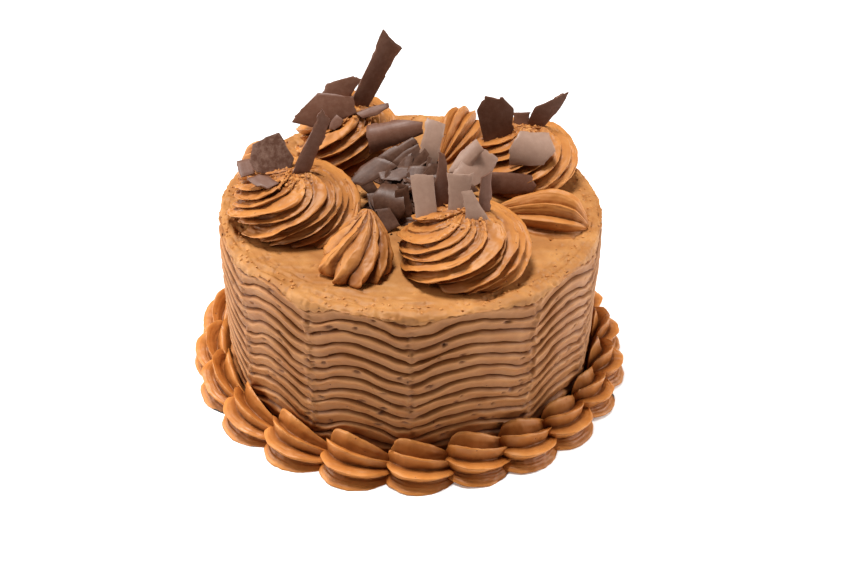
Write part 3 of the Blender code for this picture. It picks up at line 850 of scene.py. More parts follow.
    def roughen(self, points: np.ndarray) -> np.ndarray:
        """Adds the knife's strokes, the crumbly rim and the air holes to the top.

        Args:
            points: The top's points, in millimetres.

        Returns:
            The points, raised or lowered.
        """
        radius = np.hypot(points[:, 0], points[:, 1])
        bearing = np.arctan2(points[:, 0], -points[:, 1])
        up = smooth_step(*self.flat_zone, points[:, 2])
        rim = smooth_step(*self.rim_zone, radius)
        level = radius * 0.0
        length, width = self.stroke_size
        straight = np.stack((points[:, 0] / length, points[:, 1] / width, level), -1)
        round_rim = np.stack((bearing * self.rim_stroke_turns, radius / self.rim_stroke_width, level), -1)
        lift = self.swell.over(points) + self.stroke.over(straight) * (1.0 - rim)
        lift += rim * (self.rim_stroke.over(round_rim) + self.rim_crumble.over(points))
        lift += rim * self.rim_lumps.over(points)
        outer = np.nonzero(radius > self.dent_zone)[0]
        source = own_random("dents")
        for _ in range(self.dent_count):
            turn = source.uniform(0.0, 2.0 * math.pi)
            reach = self.dent_reach - self.dent_spread * source.random() ** 2
            spot = np.array((reach * math.sin(turn), -reach * math.cos(turn)))
            size = source.uniform(*self.dent_sizes)
            length = size * source.choice(self.dent_stretches)
            ahead = np.array((math.cos(turn), math.sin(turn)))
            offset = points[outer, :2] - spot
            forward = offset @ ahead
            sideways = offset @ np.array((-ahead[1], ahead[0]))
            away = (forward / length) ** 2 + (sideways / size) ** 2
            deep = source.uniform(*self.dent_depths) * source.choice(self.dent_signs)
            lift[outer] -= deep * np.exp(-away ** 1.5)
        moved = points.copy()
        moved[:, 2] += lift * up
        return moved


# Piping

def fin(part: float, crest: float = 0.5, sharpness: float = 1.3) -> float:
    """One fin of a star nozzle's print: 0 in the rounded crease, 1 on the sharp crest.

    Args:
        part: Place across the fin, from the crease under it at 0 to the next at 1.
        crest: Where across the fin its crest is.
        sharpness: How hollow the fin's two faces are; 1 is flat.

    Returns:
        The height, from 0 to 1.
    """
    if part < crest:
        return (part / crest) ** sharpness
    return ((1.0 - part) / (1.0 - crest)) ** sharpness


def outline_curve(name: str, points: Sequence[tuple], closed: bool) -> bpy.types.Object:
    """Makes a polyline that a piping tree reads, as a nozzle's print or as a path.

    Args:
        name: The curve's name.
        points: Its points, in millimetres or in shares of a size.
        closed: Whether its ends are joined.

    Returns:
        The curve's object, linked into the scene.
    """
    curve = bpy.data.curves.new(name, "CURVE")
    curve.dimensions = "3D"
    spline = curve.splines.new("POLY")
    spline.points.add(len(points) - 1)
    for point, place in zip(spline.points, points):
        point.co = (*place, 1.0)
    spline.use_cyclic_u = closed
    thing = bpy.data.objects.new(name, curve)
    bpy.context.scene.collection.objects.link(thing)
    return thing


@dataclass
class PipingTree:
    """A Geometry Nodes tree that pipes frosting, with its inputs' identifiers."""

    name: str
    inputs: dict
    tree: bpy.types.GeometryNodeTree = None
    identifiers: dict = field(default_factory=dict)
    wiring: Wiring = None
    given: dict = field(default_factory=dict)

    def __post_init__(self) -> None:
        """Starts the tree with its named inputs and one geometry output."""
        self.tree = bpy.data.node_groups.new(self.name, "GeometryNodeTree")
        for label, kind in self.inputs.items():
            socket = self.tree.interface.new_socket(name=label, in_out="INPUT", socket_type=kind)
            self.identifiers[label] = socket.identifier
        self.tree.interface.new_socket(name="Geometry", in_out="OUTPUT", socket_type="NodeSocketGeometry")
        self.wiring = Wiring(self.tree)
        entrance = self.tree.nodes.new("NodeGroupInput")
        self.given = {label: entrance.outputs[label] for label in self.inputs}

    def close(self, geometry: bpy.types.NodeSocket) -> None:
        """Shades the result smooth, gives it the material and ends the tree.

        Args:
            geometry: What the tree has made.
        """
        add = self.wiring.add
        geometry = add("GeometryNodeSetShadeSmooth", geometry)
        geometry = add("GeometryNodeRealizeInstances", geometry)
        geometry = add("GeometryNodeSetMaterial", geometry, None, self.given["Material"])
        add("NodeGroupOutput", geometry)

    def run(self, name: str, values: dict) -> bpy.types.Object:
        """Pipes one piece and returns it as a plain mesh object.

        Args:
            name: The new piece's name.
            values: A value for each input, by its label.

        Returns:
            The piece, linked into the scene.
        """
        holder = bpy.data.objects.new("holder", bpy.data.meshes.new("holder"))
        bpy.context.scene.collection.objects.link(holder)
        modifier = holder.modifiers.new("piping", "NODES")
        modifier.node_group = self.tree
        for label, value in values.items():
            modifier[self.identifiers[label]] = value
        depsgraph = bpy.context.evaluated_depsgraph_get()
        depsgraph.update()
        mesh = bpy.data.meshes.new_from_object(holder.evaluated_get(depsgraph), depsgraph=depsgraph)
        spent = holder.data
        bpy.data.objects.remove(holder, do_unlink=True)
        bpy.data.meshes.remove(spent)
        mesh.name = name
        piece = bpy.data.objects.new(name, mesh)
        bpy.context.scene.collection.objects.link(piece)
        return piece


@dataclass(frozen=True)
class PipedSkin:
    """The roughness of piped frosting: scales are lumps to a millimetre, depths millimetres.

    Lines drawn by the nozzle and cracks follow the print round the piece.
    """

    slow_scale: float = 0.13
    fine_scale: float = 0.4
    torn_levels: tuple = (0.84, 0.97)
    least_torn: float = 0.1
    lines_round: float = 16.0
    lines_along: float = 3.0
    line_depth: float = 0.5
    crack_scale: float = 1.7
    crack_from: float = 0.64
    crack_full_by: float = 0.74
    crack_depth: float = 0.8

    def roughen(
        self, tree: PipingTree, skin: bpy.types.NodeSocket, level: bpy.types.NodeSocket,
    ) -> bpy.types.NodeSocket:
        """Adds slow unevenness, drawn lines, cracks and the torn grain near the top.

        Args:
            tree: The tree, with inputs for unevenness, crumble and seed.
            skin: The piece so far, with its print and level stored.
            level: How near the top each point is; the torn grain starts near 1.

        Returns:
            The roughened piece.
        """
        add, given = tree.wiring.add, tree.given
        here = add("GeometryNodeInputPosition")
        outwards = add("GeometryNodeInputNormal")
        shifted = add("ShaderNodeCombineXYZ", given["Seed"], given["Seed"], given["Seed"])
        shifted = add("ShaderNodeVectorMath", here, shifted, operation="ADD")
        slow = add("ShaderNodeTexNoise", named={
            "Vector": shifted, "Scale": self.slow_scale, "Detail": 2.0,
        })
        slow = add("ShaderNodeMapRange", slow, 0.0, 1.0, -1.0, 1.0)
        slow = add("ShaderNodeMath", slow, given["Unevenness"], operation="MULTIPLY")
        fine = add("ShaderNodeTexNoise", named={
            "Vector": shifted, "Scale": self.fine_scale, "Detail": 4.0, "Roughness": 0.6,
        })
        fine = add("ShaderNodeMapRange", fine, 0.0, 1.0, -1.0, 1.0)
        high = add("ShaderNodeMapRange", level, *self.torn_levels, self.least_torn, 1.0)
        fine = add("ShaderNodeMath", fine, high, operation="MULTIPLY")
        fine = add("ShaderNodeMath", fine, given["Crumble"], operation="MULTIPLY")
        height = add("ShaderNodeMath", slow, fine, operation="ADD")
        printed = add("GeometryNodeInputNamedAttribute", "print", data_type="FLOAT_VECTOR")
        printed = add("ShaderNodeVectorMath", printed, operation="SCALE", named={
            "Scale": self.lines_round,
        })
        passed = add("GeometryNodeInputNamedAttribute", "level", data_type="FLOAT")
        passed = add("ShaderNodeMath", passed, self.lines_along, operation="MULTIPLY")
        passed = add("ShaderNodeCombineXYZ", 0.0, 0.0, passed)
        along = add("ShaderNodeVectorMath", printed, passed, operation="ADD")
        drawn = add("ShaderNodeTexNoise", named={"Vector": along, "Scale": 1.0, "Detail": 2.0})
        drawn = add("ShaderNodeMapRange", drawn, 0.0, 1.0, -self.line_depth, self.line_depth)
        height = add("ShaderNodeMath", height, drawn, operation="ADD")
        cracked = add("ShaderNodeTexNoise", named={
            "Vector": along, "Scale": self.crack_scale, "Detail": 1.0,
        })
        cracked = add(
            "ShaderNodeMapRange", cracked, self.crack_from, self.crack_full_by, 0.0, -self.crack_depth,
        )
        cracked = add("ShaderNodeMath", cracked, given["Crumble"], operation="MULTIPLY")
        height = add("ShaderNodeMath", height, cracked, operation="ADD")
        moved = add("ShaderNodeVectorMath", outwards, operation="SCALE", named={"Scale": height})
        return add("GeometryNodeSetPosition", skin, None, None, moved)


@dataclass(frozen=True)
class DropShape:
    """How a drop is piped: rows of (level, value) from its foot at 0 to its tip at 1.

    Widths are shares of the drop's radius. Crease gains deepen the print's creases. The
    twist and the lean grow with powers of the level, and the ridges wander by an angle.
    """

    rings: int = 130
    tip_crowding: float = 1.7
    domed_widths: tuple = (
        (0.0, 0.84), (0.03, 0.9), (0.1, 0.95), (0.22, 0.995), (0.34, 1.0), (0.46, 0.97), (0.58, 0.91),
        (0.7, 0.82), (0.82, 0.68), (0.92, 0.49), (0.97, 0.34), (1.0, 0.02),
    )
    pointed_widths: tuple = (
        (0.0, 0.74), (0.04, 0.87), (0.12, 0.97), (0.26, 1.0), (0.46, 0.9), (0.66, 0.69),
        (0.84, 0.42), (0.95, 0.22), (1.0, 0.02),
    )
    crease_gains: tuple = ((0.0, 2.1), (0.12, 1.9), (0.5, 1.7), (0.8, 1.8), (0.95, 2.0), (1.0, 1.0))
    twist_power: float = 1.12
    lean_power: float = 1.3
    wander_scale: float = 2.2
    wander_angle: float = 0.36
    closed_from: float = 0.26

    def tree(self, skin_roughness: PipedSkin) -> PipingTree:
        """Builds the tree: a star print that climbs, turns and draws in.

        Args:
            skin_roughness: How the frosting's skin is roughened.

        Returns:
            The finished tree.
        """
        tree = PipingTree("piped swirl", {
            "Print": "NodeSocketObject", "Centre": "NodeSocketVector", "Lean": "NodeSocketVector",
            "Radius": "NodeSocketFloat", "Height": "NodeSocketFloat", "Twist": "NodeSocketFloat",
            "Pointed": "NodeSocketFloat", "Unevenness": "NodeSocketFloat", "Crumble": "NodeSocketFloat",
            "Seed": "NodeSocketFloat", "Material": "NodeSocketMaterial",
        })
        add, given = tree.wiring.add, tree.given

        # The print is swept up an upright line, its rings crowded towards the tip
        line = add("GeometryNodeCurvePrimitiveLine", None, (0.0, 0.0, 1.0))
        line = add("GeometryNodeResampleCurve", line, named={"Count": self.rings})
        step = add("GeometryNodeSplineParameter")
        level = add("ShaderNodeMath", 1.0, step, operation="SUBTRACT")
        level = add("ShaderNodeMath", level, self.tip_crowding, operation="POWER")
        level = add("ShaderNodeMath", 1.0, level, operation="SUBTRACT")
        line = add("GeometryNodeStoreNamedAttribute", line, None, "level", level, data_type="FLOAT")
        star = add("GeometryNodeObjectInfo", given["Print"], output="Geometry")
        here = add("GeometryNodeInputPosition")
        star = add("GeometryNodeStoreNamedAttribute", star, None, "print", here, data_type="FLOAT_VECTOR")
        skin = add("GeometryNodeCurveToMesh", named={
            "Curve": line, "Profile Curve": star, "Fill Caps": True,
        })
        level = add("GeometryNodeInputNamedAttribute", "level", data_type="FLOAT")
        star = add("GeometryNodeInputNamedAttribute", "print", data_type="FLOAT_VECTOR")

        # How far out each point lies
        domed = set_curve(add("ShaderNodeFloatCurve", 1.0, level), self.domed_widths)
        pointed = set_curve(add("ShaderNodeFloatCurve", 1.0, level), self.pointed_widths)
        reach = add("ShaderNodeMix", named={0: given["Pointed"], 2: domed, 3: pointed})
        gain = set_curve(add("ShaderNodeFloatCurve", 1.0, level), self.crease_gains)
        length = add("ShaderNodeVectorMath", star, operation="LENGTH", output="Value")
        crease = add("ShaderNodeMath", 1.0, length, operation="SUBTRACT")
        crease = add("ShaderNodeMath", crease, gain, operation="MULTIPLY")
        side = add("ShaderNodeMath", 1.0, crease, operation="SUBTRACT")
        side = add("ShaderNodeMath", side, reach, operation="MULTIPLY")
        side = add("ShaderNodeMath", side, given["Radius"], operation="MULTIPLY")

        # How far round it is turned
        turned = add("ShaderNodeMath", level, self.twist_power, operation="POWER")
        turn = add("ShaderNodeMath", given["Twist"], turned, operation="MULTIPLY")
        offset = add("ShaderNodeCombineXYZ", 0.0, 0.0, given["Seed"])
        wander = add("ShaderNodeVectorMath", star, offset, operation="ADD")
        climb = add("ShaderNodeCombineXYZ", level, 0.0, 0.0)
        wander = add("ShaderNodeVectorMath", wander, climb, operation="ADD")
        wander = add("ShaderNodeTexNoise", named={
            "Vector": wander, "Scale": self.wander_scale, "Detail": 1.0,
        })
        wander = add("ShaderNodeMapRange", wander, 0.0, 1.0, -self.wander_angle, self.wander_angle)
        turn = add("ShaderNodeMath", turn, wander, operation="ADD")
        way = add("ShaderNodeVectorMath", star, operation="NORMALIZE")
        way = add("ShaderNodeVectorRotate", rotation_type="Z_AXIS", named={"Vector": way, "Angle": turn})
        way = add("ShaderNodeVectorMath", way, operation="SCALE", named={"Scale": side})

        # How high it is, and how far it leans over
        rise = add("ShaderNodeMath", given["Height"], level, operation="MULTIPLY")
        rise = add("ShaderNodeCombineXYZ", 0.0, 0.0, rise)
        leant = add("ShaderNodeMath", level, self.lean_power, operation="POWER")
        leant = add("ShaderNodeVectorMath", given["Lean"], operation="SCALE", named={"Scale": leant})
        place = add("ShaderNodeVectorMath", given["Centre"], way, operation="ADD")
        place = add("ShaderNodeVectorMath", place, rise, operation="ADD")
        place = add("ShaderNodeVectorMath", place, leant, operation="ADD")
        skin = add("GeometryNodeSetPosition", skin, None, place)
        # How far into a crease each point lies, stored as "open" for the painted shade that the material
        # lays in creases
        opened = add("ShaderNodeMapRange", crease, 0.0, self.closed_from, 1.0, 0.0)
        skin = add("GeometryNodeStoreNamedAttribute", skin, None, "open", opened, data_type="FLOAT")
        tree.close(skin_roughness.roughen(tree, skin, level))
        return tree


@dataclass(frozen=True)
class ShellShape:
    """How a shell is piped: rows of (level, size) from its head at 0 to its tail at 1.

    A shell on the top is as wide as it is tall for its sizes. One pressed against the
    side stays wide for longer, and its head is blunt.
    """

    free_sizes: tuple = (
        (0.0, 0.02), (0.025, 0.32), (0.08, 0.62), (0.18, 0.88), (0.36, 1.0), (0.6, 0.84),
        (0.82, 0.56), (0.95, 0.34), (1.0, 0.12),
    )
    pressed_widths: tuple = (
        (0.0, 0.02), (0.03, 0.3), (0.09, 0.56), (0.2, 0.84), (0.36, 1.0), (0.55, 0.96),
        (0.75, 0.74), (0.92, 0.44), (1.0, 0.2),
    )
    pressed_heights: tuple = (
        (0.0, 0.5), (0.03, 0.74), (0.12, 0.98), (0.26, 1.02), (0.5, 0.92), (0.78, 0.68), (1.0, 0.4),
    )
    shut_below: float = 0.6
    open_above: float = 0.98
    pressed_in: float = 0.6

    def tree(self, skin_roughness: PipedSkin) -> PipingTree:
        """Builds the tree: a fan of fins drawn along a path, fat then fine.

        Args:
            skin_roughness: How the frosting's skin is roughened.

        Returns:
            The finished tree. Its wall input is 1 where the shell is pressed to the side.
        """
        tree = PipingTree("piped shell", {
            "Path": "NodeSocketObject", "Print": "NodeSocketObject", "Half Width": "NodeSocketFloat",
            "Height": "NodeSocketFloat", "Floor": "NodeSocketFloat", "Wall": "NodeSocketFloat",
            "Roll": "NodeSocketFloat", "Unevenness": "NodeSocketFloat", "Crumble": "NodeSocketFloat",
            "Seed": "NodeSocketFloat", "Material": "NodeSocketMaterial",
        })
        add, given = tree.wiring.add, tree.given

        # The fan is swept along the path, which remembers where it ran and what lay across it
        path = add("GeometryNodeObjectInfo", given["Path"], output="Geometry")
        step = add("GeometryNodeSplineParameter")
        path = add("GeometryNodeStoreNamedAttribute", path, None, "level", step, data_type="FLOAT")
        here = add("GeometryNodeInputPosition")
        path = add("GeometryNodeStoreNamedAttribute", path, None, "spine", here, data_type="FLOAT_VECTOR")
        along = add("GeometryNodeInputTangent")
        across = add("ShaderNodeVectorMath", along, (0.0, 0.0, 1.0), operation="CROSS_PRODUCT")
        across = add("ShaderNodeVectorMath", across, operation="NORMALIZE")
        path = add(
            "GeometryNodeStoreNamedAttribute", path, None, "across", across, data_type="FLOAT_VECTOR",
        )
        fan = add("GeometryNodeObjectInfo", given["Print"], output="Geometry")
        here = add("GeometryNodeInputPosition")
        fan = add("GeometryNodeStoreNamedAttribute", fan, None, "print", here, data_type="FLOAT_VECTOR")
        skin = add("GeometryNodeCurveToMesh", named={
            "Curve": path, "Profile Curve": fan, "Fill Caps": True,
        })
        level = add("GeometryNodeInputNamedAttribute", "level", data_type="FLOAT")
        spine = add("GeometryNodeInputNamedAttribute", "spine", data_type="FLOAT_VECTOR")
        across = add("GeometryNodeInputNamedAttribute", "across", data_type="FLOAT_VECTOR")
        fan = add("GeometryNodeInputNamedAttribute", "print", data_type="FLOAT_VECTOR")

        # The fan rolls over as it goes, and grows and shrinks by the rows
        roll = add("ShaderNodeMath", 0.5, level, operation="SUBTRACT")
        roll = add("ShaderNodeMath", roll, given["Roll"], operation="MULTIPLY")
        fan = add("ShaderNodeVectorRotate", rotation_type="Z_AXIS", named={"Vector": fan, "Angle": roll})
        free = set_curve(add("ShaderNodeFloatCurve", 1.0, level), self.free_sizes)
        pressed_width = set_curve(add("ShaderNodeFloatCurve", 1.0, level), self.pressed_widths)
        pressed_height = set_curve(add("ShaderNodeFloatCurve", 1.0, level), self.pressed_heights)
        size = add("ShaderNodeMix", named={0: given["Wall"], 2: free, 3: pressed_width})
        tallness = add("ShaderNodeMix", named={0: given["Wall"], 2: free, 3: pressed_height})
        parts = add("ShaderNodeSeparateXYZ", fan)
        upward = parts.node.outputs["Y"]
        wide = add("ShaderNodeMath", size, given["Half Width"], operation="MULTIPLY")
        wide = add("ShaderNodeMath", wide, parts, operation="MULTIPLY")
        tall = add("ShaderNodeMath", tallness, given["Height"], operation="MULTIPLY")
        tall = add("ShaderNodeMath", tall, upward, operation="MULTIPLY")
        side = add("ShaderNodeVectorMath", across, operation="SCALE", named={"Scale": wide})
        rise = add("ShaderNodeCombineXYZ", 0.0, 0.0, tall)
        place = add("ShaderNodeVectorMath", spine, side, operation="ADD")
        place = add("ShaderNodeVectorMath", place, rise, operation="ADD")
        skin = add("GeometryNodeSetPosition", skin, None, place)
        # How far into a crease each point lies, stored as "open" for the painted shade that the material
        # lays in creases
        reach = add("ShaderNodeVectorMath", fan, operation="LENGTH", output="Value")
        opened = add("ShaderNodeMapRange", reach, self.shut_below, self.open_above, 0.0, 1.0)
        skin = add("GeometryNodeStoreNamedAttribute", skin, None, "open", opened, data_type="FLOAT")
        nowhere = add("ShaderNodeMath", level, 0.0, operation="MULTIPLY")
        skin = skin_roughness.roughen(tree, skin, nowhere)

        # Nothing goes below the floor, and a pressed shell goes only a little into the side
        here = add("GeometryNodeInputPosition")
        parts = add("ShaderNodeSeparateXYZ", here)
        height = add("ShaderNodeMath", parts.node.outputs["Z"], given["Floor"], operation="MAXIMUM")
        flat = add("ShaderNodeVectorMath", here, (1.0, 1.0, 0.0), operation="MULTIPLY")
        radius = add("ShaderNodeVectorMath", flat, operation="LENGTH", output="Value")
        foot, belly = FOOT_RADIUS - self.pressed_in, BELLY_RADIUS - self.pressed_in
        least = add("ShaderNodeMapRange", height, 0.0, BELLY_HEIGHT, foot, belly)
        more = add("ShaderNodeMath", least, radius, operation="DIVIDE")
        more = add("ShaderNodeMath", more, 1.0, operation="MAXIMUM")
        more = add("ShaderNodeMix", named={0: given["Wall"], 2: 1.0, 3: more})
        flat = add("ShaderNodeVectorMath", flat, operation="SCALE", named={"Scale": more})
        rise = add("ShaderNodeCombineXYZ", 0.0, 0.0, height)
        place = add("ShaderNodeVectorMath", flat, rise, operation="ADD")
        skin = add("GeometryNodeSetPosition", skin, None, place)
        tree.close(skin)
        return tree


@dataclass(frozen=True)
class Swirl:
    """A drop piped through a star nozzle that turns as it rises."""

    name: str
    centre: tuple
    radius: float
    height: float
    ridges: int
    twist: float
    groove: float
    lean: tuple = (0.0, 0.0)
    pointed: bool = False


@dataclass(frozen=True)
class TopShell:
    """A shell piped on the top, its head near the edge and its tail towards the middle."""

    name: str
    bearing: float
    head_radius: float
    tail_radius: float
    half_width: float
    height: float


@dataclass
class PipedTrims:
    """Everything piped through a star nozzle: swirls, shells on top and the border.

    Bearings, spans and angles are in degrees. A fin is given by where across it the crest
    is and by how hollow its faces are, as in the function of that name.
    """

    finishes: Finishes
    swirls: tuple = (
        Swirl("rosette_front", (26.0, -50.0), 32.0, 28.5, 16, 145.0, 4.8),
        Swirl("rosette_left", (-58.0, -14.0), 32.0, 28.5, 16, 140.0, 4.8),
        Swirl("rosette_back", (-33.5, 51.0), 27.5, 33.0, 14, 140.0, 4.2),
        Swirl("rosette_right", (58.0, 34.0), 29.0, 28.0, 14, 145.0, 4.4),
        Swirl("top_shell_front", (-26.0, -61.5), 17.5, 24.5, 9, 58.0, 4.6, (6.0, 18.0), True),
    )
    top_shells: tuple = (
        TopShell("top_shell_right", 78.0, 91.0, 42.0, 15.0, 19.0),
        TopShell("top_shell_back", 160.0, 90.0, 44.0, 13.0, 19.0),
        TopShell("top_shell_left", -106.0, 93.5, 50.0, 13.5, 25.0),
    )
    shown_bearings: tuple = (-84.5, -68.4, -50.9, -33.2, -14.8, 3.5, 19.9, 35.5, 51.5, 67.3, 82.0)
    hidden_count: int = 11
    head_span: float = 8.6
    tail_span: float = 11.0
    centre_radius: float = 102.3
    fullest_at: float = 0.38
    end_inset: float = 5.0
    half_width: float = 12.8
    height: float = 23.0
    width_spread: float = 0.07
    height_spread: float = 0.09
    shell_groove: float = 0.4
    top_shell_groove: float = 0.26
    border_angles: tuple = (0.0, 25.0, 60.0, 101.0)
    border_reaches: tuple = (1.0, 1.03, 0.95, 1.02)
    border_sharpness: float = 1.35
    border_overhang: float = 0.3
    border_rolls: tuple = (3.0, 20.0)
    top_shell_fins: int = 6
    top_shell_sharpness: float = 0.75
    top_shell_overhang: float = 0.45
    head_crowding: float = 1.3
    ridge_wander: float = 0.12
    ridge_swell: float = 0.04
    swell_from: float = 0.7
    crease_shares: tuple = (0.55, 1.2)
    kiss_fin: tuple = (0.5, 0.5)
    rosette_fin: tuple = (0.34, 0.8)
    drop_shape: DropShape = DropShape()
    shell_shape: ShellShape = ShellShape()
    skin: PipedSkin = PipedSkin()
    rosette_unevenness: float = 1.2
    rosette_crumble: float = 2.0
    kiss_crumble: float = 0.3
    points_per_ridge: int = 22
    path_points: int = 64

    def build(self) -> None:
        """Pipes every piece."""
        swirls = self.drop_shape.tree(self.skin)
        for swirl in self.swirls:
            self.pipe_swirl(swirls, swirl)
        shells = self.shell_shape.tree(self.skin)
        for shell in self.top_shells:
            self.pipe_top_shell(shells, shell)
        self.pipe_border(shells)

    def star_print(self, swirl: Swirl) -> list:
        """Works out the outline of a swirl's foot, with the same ridges as its solid.

        Args:
            swirl: The swirl.

        Returns:
            The outline's points, at a radius of about 1.
        """
        source = own_random(swirl.name)
        pitch = 360.0 / swirl.ridges
        ways = [self.ridge_wander * source.uniform(-1.0, 1.0) for _ in range(swirl.ridges)]
        starts = [pitch * (i + way) for i, way in enumerate(ways)]
        swells = [self.ridge_swell * source.uniform(-1.0, 1.0) for _ in range(swirl.ridges)]
        uneven = own_random(f"{swirl.name} creases")
        crease = swirl.groove / swirl.radius
        depths = [crease * uneven.uniform(*self.crease_shares) for _ in range(swirl.ridges)]
        crest, sharpness = self.kiss_fin if swirl.pointed else self.rosette_fin
        points = []
        for i, swell in enumerate(swells):
            above = starts[i] + 0.5 * pitch
            below = starts[i - 1] + 0.5 * pitch - (360.0 if i == 0 else 0.0)
            next_swell = swells[(i + 1) % swirl.ridges]
            for k in range(self.points_per_ridge):
                part = 1.0 - k / self.points_per_ridge
                bearing = below + (above - below) * (1.0 - part)
                ease = smooth_step(self.swell_from, 1.0, np.array(1.0 - part))
                own = swell + (next_swell - swell) * 0.5 * float(ease)
                depth = depths[i] if part > crest else depths[(i + 1) % swirl.ridges]
                reach = 1.0 + own - depth * (1.0 - fin(part, crest, sharpness))
                turn = math.radians(bearing)
                points.append((reach * math.sin(turn), -reach * math.cos(turn), 0.0))
        return points

    def pipe_swirl(self, tree: PipingTree, swirl: Swirl) -> None:
        """Pipes one swirl over its solid.

        Args:
            tree: The swirl tree.
            swirl: The swirl.
        """
        star = outline_curve("star", self.star_print(swirl), True)
        values = {
            "Print": star, "Centre": (*swirl.centre, CAKE_TOP - SINK), "Lean": (*swirl.lean, 0.0),
            "Radius": swirl.radius, "Height": swirl.height + SINK, "Twist": math.radians(swirl.twist),
            "Pointed": float(swirl.pointed), "Unevenness": self.rosette_unevenness,
            "Crumble": self.kiss_crumble if swirl.pointed else self.rosette_crumble,
            "Seed": 3.7 * len(swirl.name) + swirl.centre[0], "Material": self.finishes.piped,
        }
        piece = tree.run(f"{swirl.name}_piping", values)
        bpy.data.objects.remove(star, do_unlink=True)
        finish_piece(piece, [swirl.name])

    def fan_print(
        self, angles: Sequence[float], reaches: Sequence[float], groove: float, sharpness: float,
        overhang: float,
    ) -> list:
        """Outline across a shell, in half widths and heights: fins fanned over a foot.

        Args:
            angles: Angle of each fin's rim from the foot, the first at 0.
            reaches: How far out each rim is.
            groove: How deep the creases are.
            sharpness: How hollow the fins' faces are.
            overhang: Share of each gap that lies under the upper fin; 0.5 is even.

        Returns:
            The outline's points.
        """
        points = []
        rims = list(zip(angles, reaches))
        for (angle, reach), (next_angle, next_reach) in zip(rims, rims[1:]):
            for k in range(self.points_per_ridge):
                part = k / self.points_per_ridge
                rim = fin((part + overhang) % 1.0, overhang, sharpness)
                out = (reach + (next_reach - reach) * part) * (1.0 - groove * (1.0 - rim))
                turn = math.radians(angle + (next_angle - angle) * part)
                points.append((out * math.cos(turn), out * math.sin(turn), 0.0))
        turn = math.radians(angles[-1])
        end = (reaches[-1] * math.cos(turn), reaches[-1] * math.sin(turn))
        points.append((*end, 0.0))
        if end[1] > 0.1:
            for part in (0.25, 0.5, 0.75, 1.0):
                points.append((end[0] - (end[0] + 1.0) * part, end[1] * (1.0 - part), 0.0))
        foot = points[-1]
        for part in (0.2, 0.4, 0.6, 0.8):
            points.append((foot[0] + (points[0][0] - foot[0]) * part, foot[1] * (1.0 - part), 0.0))
        return points

    def pipe_shell(
        self, tree: PipingTree, name: str, path: Sequence[Vector], section: Sequence[tuple], sizes: dict,
    ) -> None:
        """Pipes one shell along a path, over the solid of the same name.

        Args:
            tree: The shell tree.
            name: The solid's name.
            path: Points of the shell's foot line, from its head to its tail.
            section: The outline across it.
            sizes: The tree's other inputs, by label.
        """
        spine = outline_curve("path", path, False)
        fan = outline_curve("fan", section, True)
        values = {"Path": spine, "Print": fan, "Seed": own_random(name).uniform(0.0, 90.0)}
        values.update(sizes)
        piece = tree.run(f"{name}_piping", values)
        bpy.data.objects.remove(spine, do_unlink=True)
        bpy.data.objects.remove(fan, do_unlink=True)
        finish_piece(piece, [name])

    def pipe_top_shell(self, tree: PipingTree, shell: TopShell) -> None:
        """Pipes a shell that lies on the top.

        Args:
            tree: The shell tree.
            shell: The shell.
        """
        turn = math.radians(shell.bearing)
        path = []
        for i in range(self.path_points):
            part = (i / (self.path_points - 1)) ** self.head_crowding
            radius = shell.head_radius + (shell.tail_radius - shell.head_radius) * part
            path.append((radius * math.sin(turn), -radius * math.cos(turn), CAKE_TOP - SINK))
        angles = [180.0 / self.top_shell_fins * i for i in range(self.top_shell_fins + 1)]
        section = self.fan_print(
            angles, [1.0] * len(angles), self.top_shell_groove, self.top_shell_sharpness,
            self.top_shell_overhang,
        )
        self.pipe_shell(tree, shell.name, path, section, {
            "Half Width": shell.half_width, "Height": shell.height, "Floor": CAKE_TOP - SINK,
            "Wall": 0.0, "Roll": 0.0, "Unevenness": 0.8, "Crumble": 0.3,
            "Material": self.finishes.piped,
        })

    def pipe_border(self, tree: PipingTree) -> None:
        """Pipes the shells round the foot, each pressed against the side.

        Args:
            tree: The shell tree.
        """
        last = self.shown_bearings[-1]
        step = (self.shown_bearings[0] + 360.0 - last) / (self.hidden_count + 1)
        bearings = list(self.shown_bearings) + [last + step * (i + 1) for i in range(self.hidden_count)]
        section = self.fan_print(
            self.border_angles, self.border_reaches, self.shell_groove, self.border_sharpness,
            self.border_overhang,
        )
        for i, middle in enumerate(bearings):
            name = f"border_shell_{i + 1:02d}"
            source = own_random(name)
            half_width = self.half_width * (1.0 + source.uniform(-1.0, 1.0) * self.width_spread)
            height = self.height * (1.0 + source.uniform(-1.0, 1.0) * self.height_spread)
            path = []
            for k in range(self.path_points):
                part = (k / (self.path_points - 1)) ** self.head_crowding
                turn = math.radians(middle - self.head_span + (self.head_span + self.tail_span) * part)
                if part < self.fullest_at:
                    inset = self.end_inset * (1.0 - part / self.fullest_at) ** 2
                else:
                    inset = self.end_inset * ((part - self.fullest_at) / (1.0 - self.fullest_at)) ** 2
                radius = self.centre_radius - inset
                path.append((radius * math.sin(turn), -radius * math.cos(turn), 0.0))
            self.pipe_shell(tree, name, path, section, {
                "Half Width": half_width, "Height": height, "Floor": 0.0, "Wall": 1.0,
                "Roll": math.radians(source.uniform(*self.border_rolls)), "Unevenness": 0.9,
                "Crumble": 0.25, "Material": self.finishes.border,
            })


# Chocolate

class Skin(Enum):
    """How a shard's face has set, or the painted sheen or painted shade that its brown carries."""

    DARK = "sheet"
    SATIN = "pale_sheet"
    BLOOMED = "bloomed"
    HEAPED = "heaped"


